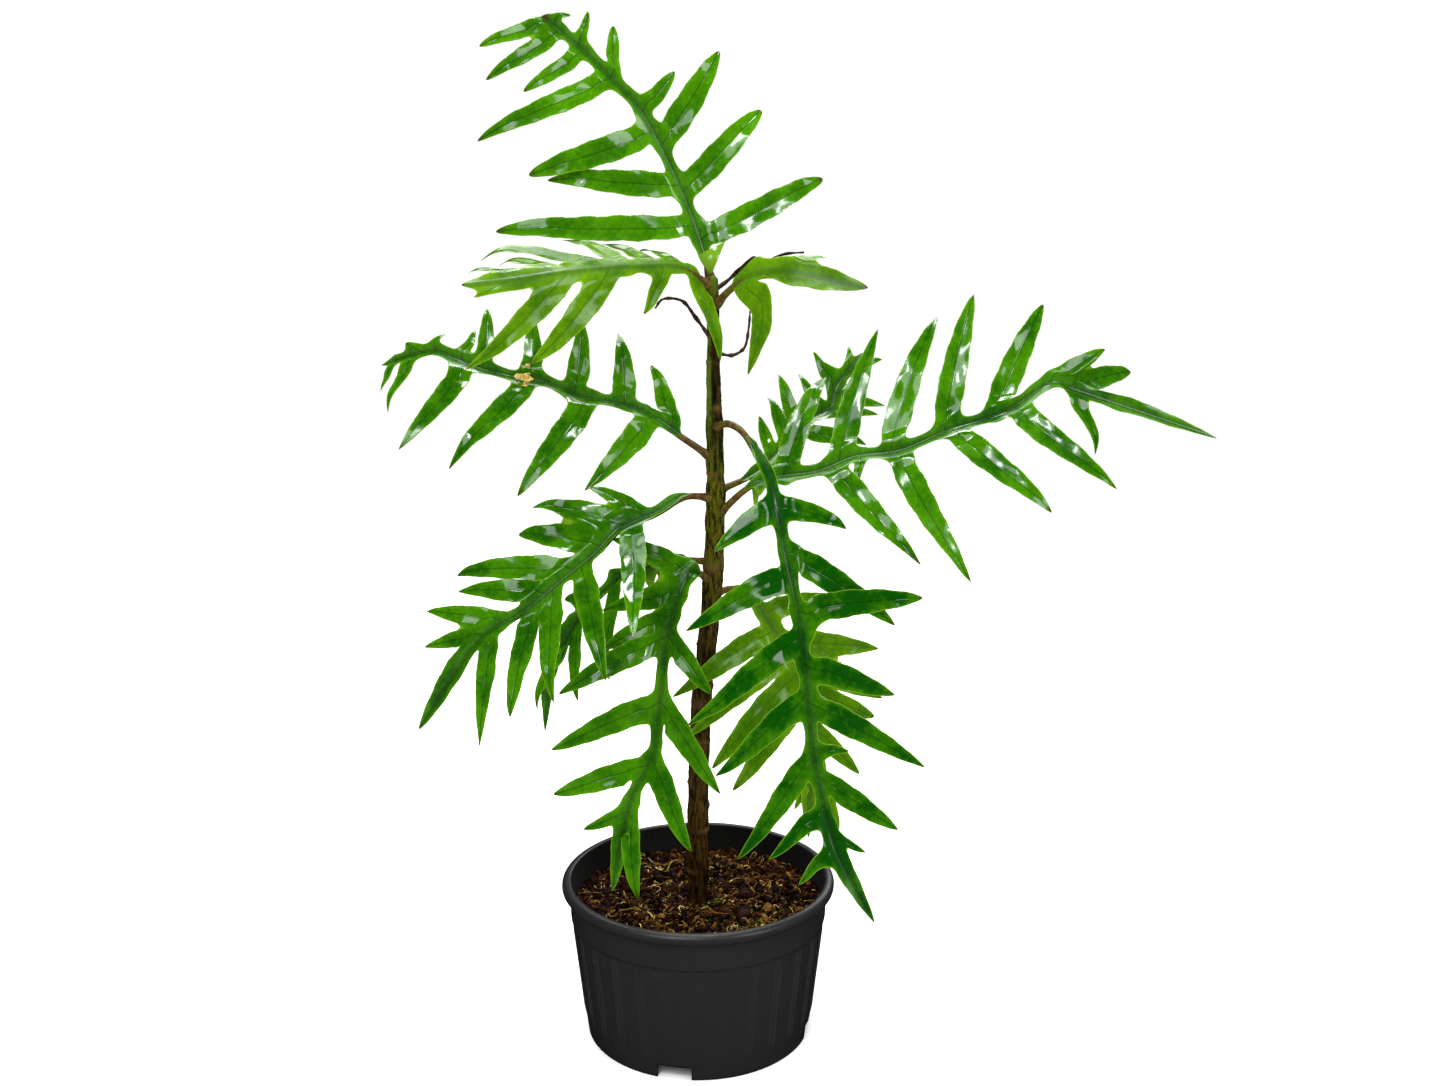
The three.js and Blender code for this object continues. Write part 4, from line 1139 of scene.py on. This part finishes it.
def bend_leaf(leaf, length, lobes, frames, x, y):
    """Mixes the midrib's surface and the lobes' surfaces by how far out a point is.

    Each lobe weighs exp(-d / softness), with d its distance to the point. Relief is measured
    along the mixed upward direction.
    """
    even, path = frames[0], frames[1]
    side = np.where(x < 0, -1.0, 1.0)
    outward, normal = half_directions(leaf, frames, y, side)
    near = np.abs(x)
    past = np.maximum(y - even[-1], 0)[:, None] * frames[2][-1]
    points0 = sample(path, even, y) + near[:, None] * outward + past
    relief0 = 0.5 * np.sqrt(near * near + 0.5) + 0.25 * np.sin(y / 4.6 + side) * ease(3, 9, near)
    phase0 = (y - 1.2 * near) / VEIN_GAP
    weight_sum = np.full(len(x), 1e-9)
    points1, up1 = np.zeros((len(x), 3)), np.zeros((len(x), 3))
    relief1, phase1, reach1 = np.zeros(len(x)), np.zeros(len(x)), np.zeros(len(x))
    vein, core, best = np.full(len(x), 9.0), np.zeros(len(x)), np.zeros(len(x))
    for lobe in lobes[:-1]:
        t, across, run, beyond = lobe_place(lobe, x, y)
        edge = np.hypot(across, 0.6 * beyond) - lobe["width"] * lobe_taper(t, lobe["blunt"])
        same = np.where(side == lobe["side"], 0.0, 30.0)
        weight = np.exp(-np.clip(edge + same, -9, 60) / SOFTNESS)
        surface, up = lobe_surface(leaf, frames, lobe, np.clip(t, -0.1, 1.03), across)
        far = np.abs(across)
        margin = ease(2.5, 8, far) * ease(0.05, 0.3, t)
        ripple = margin * (0.4 * np.sin(run / 4.2 + lobe["shift"] + np.sign(across)))
        curl = -lobe["curl"] * np.clip((t - 0.7) / 0.3, 0, 1.1) ** 2
        relief = 0.16 * np.sqrt(far * far + 0.3) + ripple + curl
        points1 += weight[:, None] * surface
        up1 += weight[:, None] * up
        relief1 += weight * relief
        phase1 += weight * ((run - 1.1 * far) / VEIN_GAP)
        better = weight > best
        vein = np.where(better, across, vein)
        reach1 = np.where(better, t, reach1)
        core = np.where(better, np.exp(-(across / 1.6) ** 2) * (t > 0) * (same == 0), core)
        best = np.maximum(best, weight)
        weight_sum += weight
    scale = weight_sum[:, None]
    points1, up1 = points1 / scale, up1 / scale
    tip_share = (y - length + leaf["end"]) / leaf["end"]
    last = np.hypot(near, 0.6 * np.maximum(tip_share - 1, 0) * leaf["end"])
    last = last - lobes[-1]["width"] * lobe_taper(tip_share, lobes[-1]["blunt"])
    own = np.exp(-np.clip(last, -9, 60) / SOFTNESS)
    end = ease(0.05, 0.45, tip_share) * own / (own + best)
    out = ease(3.0, 15.0, near) * (1 - end)
    mix = out[:, None]
    points = points0 * (1 - mix) + points1 * mix
    up = unit(normal * (1 - mix) + up1 * mix)
    flat = np.stack([x, y, 0 * x], axis=1)
    swell = SWELL * wave_noise(flat, 30, 5) * ease(1, 7, near)
    relief = relief0 * (1 - out) + relief1 / weight_sum * out + swell
    reach = np.where(end > 0.5, tip_share, reach1 * ease(6, 18, near))
    phase = np.where(out > 0.45, phase1 / weight_sum, phase0)
    return points + relief[:, None] * up, up, vein, core * (1 - end), phase, reach

# %% [markdown]
# A blade has two faces and a thin edge, so the bent sheet is copied a fraction of a millimetre
# below itself and a wall closes the rim. The midrib is a tapering tube that starts inside the
# stem, runs bare as the stalk, and then lies in the underside of the blade.

# %% Leaf builder
RIB_SIDES = 14
RIB_ROOT = 2.6  # radius of the stalk at the stem


def close_sheet(points, up, triangles, thickness):
    """Two offset copies of a sheet, joined by a wall along every open edge."""
    count = len(points)
    top = points + up * thickness[:, None]
    bottom = points - up * thickness[:, None]
    edges = np.concatenate([triangles[:, [0, 1]], triangles[:, [1, 2]], triangles[:, [2, 0]]])
    key, back = (edges[:, i].astype(np.int64) * count + edges[:, 1 - i] for i in range(2))
    a, b = edges[~np.isin(key, back)].T
    wall = np.stack([b, a, a + count, b + count], axis=1)
    faces = np.concatenate([triangles, triangles[:, ::-1] + count, as_triangles(wall)])
    return np.vstack([top, bottom]), faces


def build_leaf(leaf, seed, blade_material, slot):
    """Blade and midrib as one piece; the rib's radius narrows in two eased steps to 0.6 mm."""
    frames = leaf_frames(leaf)
    length = frames[0][-1]
    lobes = flat_lobes(leaf, length, np.random.default_rng(seed))
    fan_out(lobes)
    x, y, triangles = cut_out(leaf, length, lobes)
    margin = np.clip(-outline_field(leaf, length, lobes, x, y), 0, 20)
    points, up, vein, core, phase, reach = bend_leaf(leaf, length, lobes, frames, x, y)
    a, b, c = (points[triangles[:, i]] for i in range(3))
    if (np.cross(b - a, c - a) * up[triangles[:, 0]]).sum() < 0:
        triangles = triangles[:, ::-1]
    thickness = 0.09 + 0.2 * ease(0, 2.5, margin)
    blade, faces = close_sheet(points, up, triangles, thickness)
    even, path, _, face, _ = frames
    stalk = leaf["stalk"]
    stations = np.concatenate([np.linspace(0, stalk, 24, endpoint=False),
                               np.linspace(stalk, length - 0.12 * leaf["end"], 120)])
    radius = (RIB_ROOT - 0.5 * ease(0, stalk + 10, stations)
              - 1.5 * ease(stalk * 0.8, length, stations))
    radius = radius + 1.1 * np.exp(-((stations - 5) / 5) ** 2)
    sink = 0.85 * radius * ease(stalk - 22, stalk + 8, stations)
    line = sample(path, even, stations) - sample(face, even, stations) * sink[:, None]
    rib, rib_faces = tube(line, radius, RIB_SIDES, (0.2, -0.6, 1))
    both = np.vstack([blade, rib])
    slots = np.concatenate([np.zeros(len(faces), int), np.ones(len(rib_faces), int)])
    faces = np.concatenate([faces, rib_faces + len(blade)])
    nothing = np.zeros(len(rib))
    along = np.append(np.repeat(ease(0, length, stations), RIB_SIDES), [0, 1])
    count = len(points)
    twice = dict(margin=margin, rib=x, vein=vein, core=core, phase=phase, reach=reach)
    values = {label: np.concatenate([numbers, numbers, nothing + 9])
              for label, numbers in twice.items()}
    values["under"] = np.concatenate([np.zeros(count), np.ones(count), nothing])
    values["tone"] = np.full(len(both), leaf["tone"])
    values["along"] = np.concatenate([np.zeros(2 * count), along])
    piece = add_piece(leaf["name"], both, faces, [blade_material, leaf_stalk], values, slots)
    finish_piece(piece, slot, leaf["name"])


YOUNG_TONE = 0.7
FIRST_SEED = 100
for number, leaf in enumerate(LEAVES):
    young = leaf["tone"] > YOUNG_TONE
    finish = (young_leaf, "young_leaf") if young else (mature_leaf, "leaf")
    build_leaf(leaf, FIRST_SEED + number, *finish)

# %% [markdown]
# ## Dry scraps
# Two bare brown stalks and a shrivelled shoot tip stand at the crown, and an amber flake hangs
# on the left leaf. Each stalk is a thin tube with a shrivelled, uneven radius.

# %% Dry stalks
def dry_material(name, dark, light, roughness):
    """A dark and a light brown mixed by one noise, which also sets the roughness and the bump."""
    material, tree = new_material(name)
    cloud = noise(object_place(tree), 420, 5, 0.65)
    colour = coat(dark, value_map(cloud, 0.35, 0.65), light)
    rough = value_map(cloud, 0.3, 0.7, roughness - 0.1, roughness + 0.15)
    return complete(material, 0.25, colour, rough, cloud, 0.6, 0.0005)


dry_stalk = dry_material("dry stalk", (0.01, 0.0045, 0.0018), (0.045, 0.022, 0.008), 0.45)
dry_leaf = dry_material("dry leaf scrap", (0.26, 0.15, 0.015), (0.6, 0.48, 0.14), 0.3)

DRY_STALKS = [
    ("dry_stalk_left", 0.9, 1.5, [(-12, -5, 17), (-21, -8, 28), (-34, -10, 29), (-39, -10, 23)]),
    ("dry_stalk_right", 0.885, 1.4, [(13, -2, -2), (21, -4, 3), (24, -5, 16), (25, -6, 28)]),
    ("dry_shoot_tip", 0.975, 1.6, [(10, 4, 7), (20, -2, 16), (27, -12, 22), (33, -18, 21),
                                   (37, -20, 21), (48, -26, 25), (60, -31, 26)]),
]


def build_dry_stalk(name, share, thick, route):
    """A tube along the route, knobbly by noise and narrowing to half its radius."""
    path = smooth_curve(np.array([(0, 0, 0)] + route, float) + stem_centre(share), 16)
    s = np.linspace(0, 1, len(path))
    radius = thick * (1 - 0.5 * s) * (1 + 0.18 * np.sin(s * 31) + 0.12 * np.sin(s * 57 + 1))
    points, faces = tube(path, radius, 12, (0.3, -1, 0.2))
    finish_piece(add_piece(name, points, faces, [dry_stalk]), "dry_stalk", name)


for drawing in DRY_STALKS:
    build_dry_stalk(*drawing)

# %% [markdown]
# The flake is a curled scrap of dry leaf. It is one sheet folded in a zigzag across the midrib
# and crumpled by noise, with a thin wall.

# %% Dry flake
FLAKE_ROWS, FLAKE_COLUMNS = 40, 22
FLAKE_AT = 145.0  # along the left leaf's midrib


def build_flake():
    """A zigzag section across the left leaf's midrib, carried along it and crumpled."""
    leaf = next(item for item in LEAVES if item["name"] == "leaf_left")
    even, path, along, face, right = leaf_frames(leaf)
    folds = np.array([(-8, 4), (-4, 1), (0, 3.5), (3.5, 0.8), (8, 4.5)])
    v = np.linspace(-1, 1, FLAKE_COLUMNS)
    u = np.linspace(0, 1, FLAKE_ROWS)
    section = sample(folds, np.linspace(0, 1, len(folds)), u)
    at = np.array([FLAKE_AT])
    base, ahead, up, out = (sample(item, even, at)[0] for item in (path, along, face, right))
    ragged = 5.8 * (1 - 0.55 * np.sin(u * 6.5 + 0.5) ** 2)
    points = (base + section[:, None, 0:1] * out + (section[:, None, 1:2] + 1.0) * up
              + (ragged[:, None] * v[None, :])[..., None] * ahead)
    flat = points.reshape(-1, 3)
    flat = flat + (1.3 * wave_noise(flat, 6, 77) + 0.4 * wave_noise(flat, 2.6, 78))[:, None] * up
    slip = (1.4 * wave_noise(flat, 5, 79))[:, None] * ahead
    flat = flat + slip + (1.2 * wave_noise(flat, 5, 80))[:, None] * out
    faces = as_triangles(grid_faces(FLAKE_ROWS, FLAKE_COLUMNS))
    normal = np.broadcast_to(up, flat.shape)
    thick, closed = close_sheet(flat, normal, faces, np.full(len(flat), 0.12))
    a, b, c = flat[faces[0]]
    side = np.cross(b - a, c - a) @ up
    piece = add_piece("dry_flake", thick, closed if side > 0 else closed[:, ::-1], [dry_leaf])
    finish_piece(piece, "dry_leaf", "dry_flake")


build_flake()

# %% [markdown]
# ## Floor and light
# The plant stands on a plain white floor. One large soft light hangs above it and one in front,
# each with a small bright core, and two more fill in from the right and from behind. The glossy
# leaves need bright lights above them to show their wet shine. The white room and floor are left
# out of reflections, which keeps the greens deep.

# %% Floor
FLOOR_HALF = 6000
floor_material, floor_tree = new_material("white floor")
floor_shader = floor_tree.nodes["Principled BSDF"]
floor_shader.inputs["Base Color"].default_value = (0.93, 0.93, 0.93, 1)
floor_shader.inputs["Specular IOR Level"].default_value = 0
floor_points = FLOOR_HALF * np.array([(-1, -1, 0), (1, -1, 0), (1, 1, 0), (-1, 1, 0)], float)
floor = add_piece("floor", floor_points, np.array([[0, 1, 2, 3]]), [floor_material])
floor.visible_glossy = False

# %% Lights
def soft_light(name, place, aim, size, power):
    """A rectangular area light that looks at a point."""
    data = bpy.data.lights.new(name, "AREA")
    data.shape = "RECTANGLE"
    data.size, data.size_y = size
    data.energy = power
    light = bpy.data.objects.new(name, data)
    light.location = place
    direction = np.array(aim, float) - np.array(place, float)
    heading = math.atan2(direction[1], direction[0])
    drop = math.atan2(-direction[2], math.hypot(direction[0], direction[1]))
    light.rotation_euler = (math.pi / 2 - drop, 0, heading - math.pi / 2)
    scene.collection.objects.link(light)


soft_light("overhead", (-0.15, 0.75, 1.75), (0, 0, 0.4), (1.3, 1.0), 26)
soft_light("overhead_core", (0.1, 0.1, 1.9), (0, 0, 0.4), (0.35, 0.3), 12)
soft_light("front_top", (-0.7, -1.7, 1.9), (0, 0, 0.4), (1.2, 1.0), 24)
soft_light("front_core", (-0.5, -1.5, 2.1), (0, 0, 0.4), (0.35, 0.3), 10)
soft_light("front_right", (1.5, -1.2, 1.4), (0, 0, 0.4), (0.8, 1.0), 20)
soft_light("back_fill", (0.9, 1.8, 1.2), (0, 0, 0.35), (1.2, 1.0), 12)

WHITE_ROOM, ROOM_IN_GLOSS = 1.1, 0.01
world = bpy.data.worlds.new("white studio")
scene.world = world
world.use_nodes = True
sky = world.node_tree
background = sky.nodes["Background"]
background.inputs["Color"].default_value = (1, 1, 1, 1)
rays = sky.nodes.new("ShaderNodeLightPath")
strength = sky.nodes.new("ShaderNodeMapRange")
sky.links.new(rays.outputs["Is Glossy Ray"], strength.inputs[0])
strength.inputs["To Min"].default_value = WHITE_ROOM
strength.inputs["To Max"].default_value = ROOM_IN_GLOSS
sky.links.new(strength.outputs[0], background.inputs["Strength"])
scene.view_settings.view_transform = "Standard"
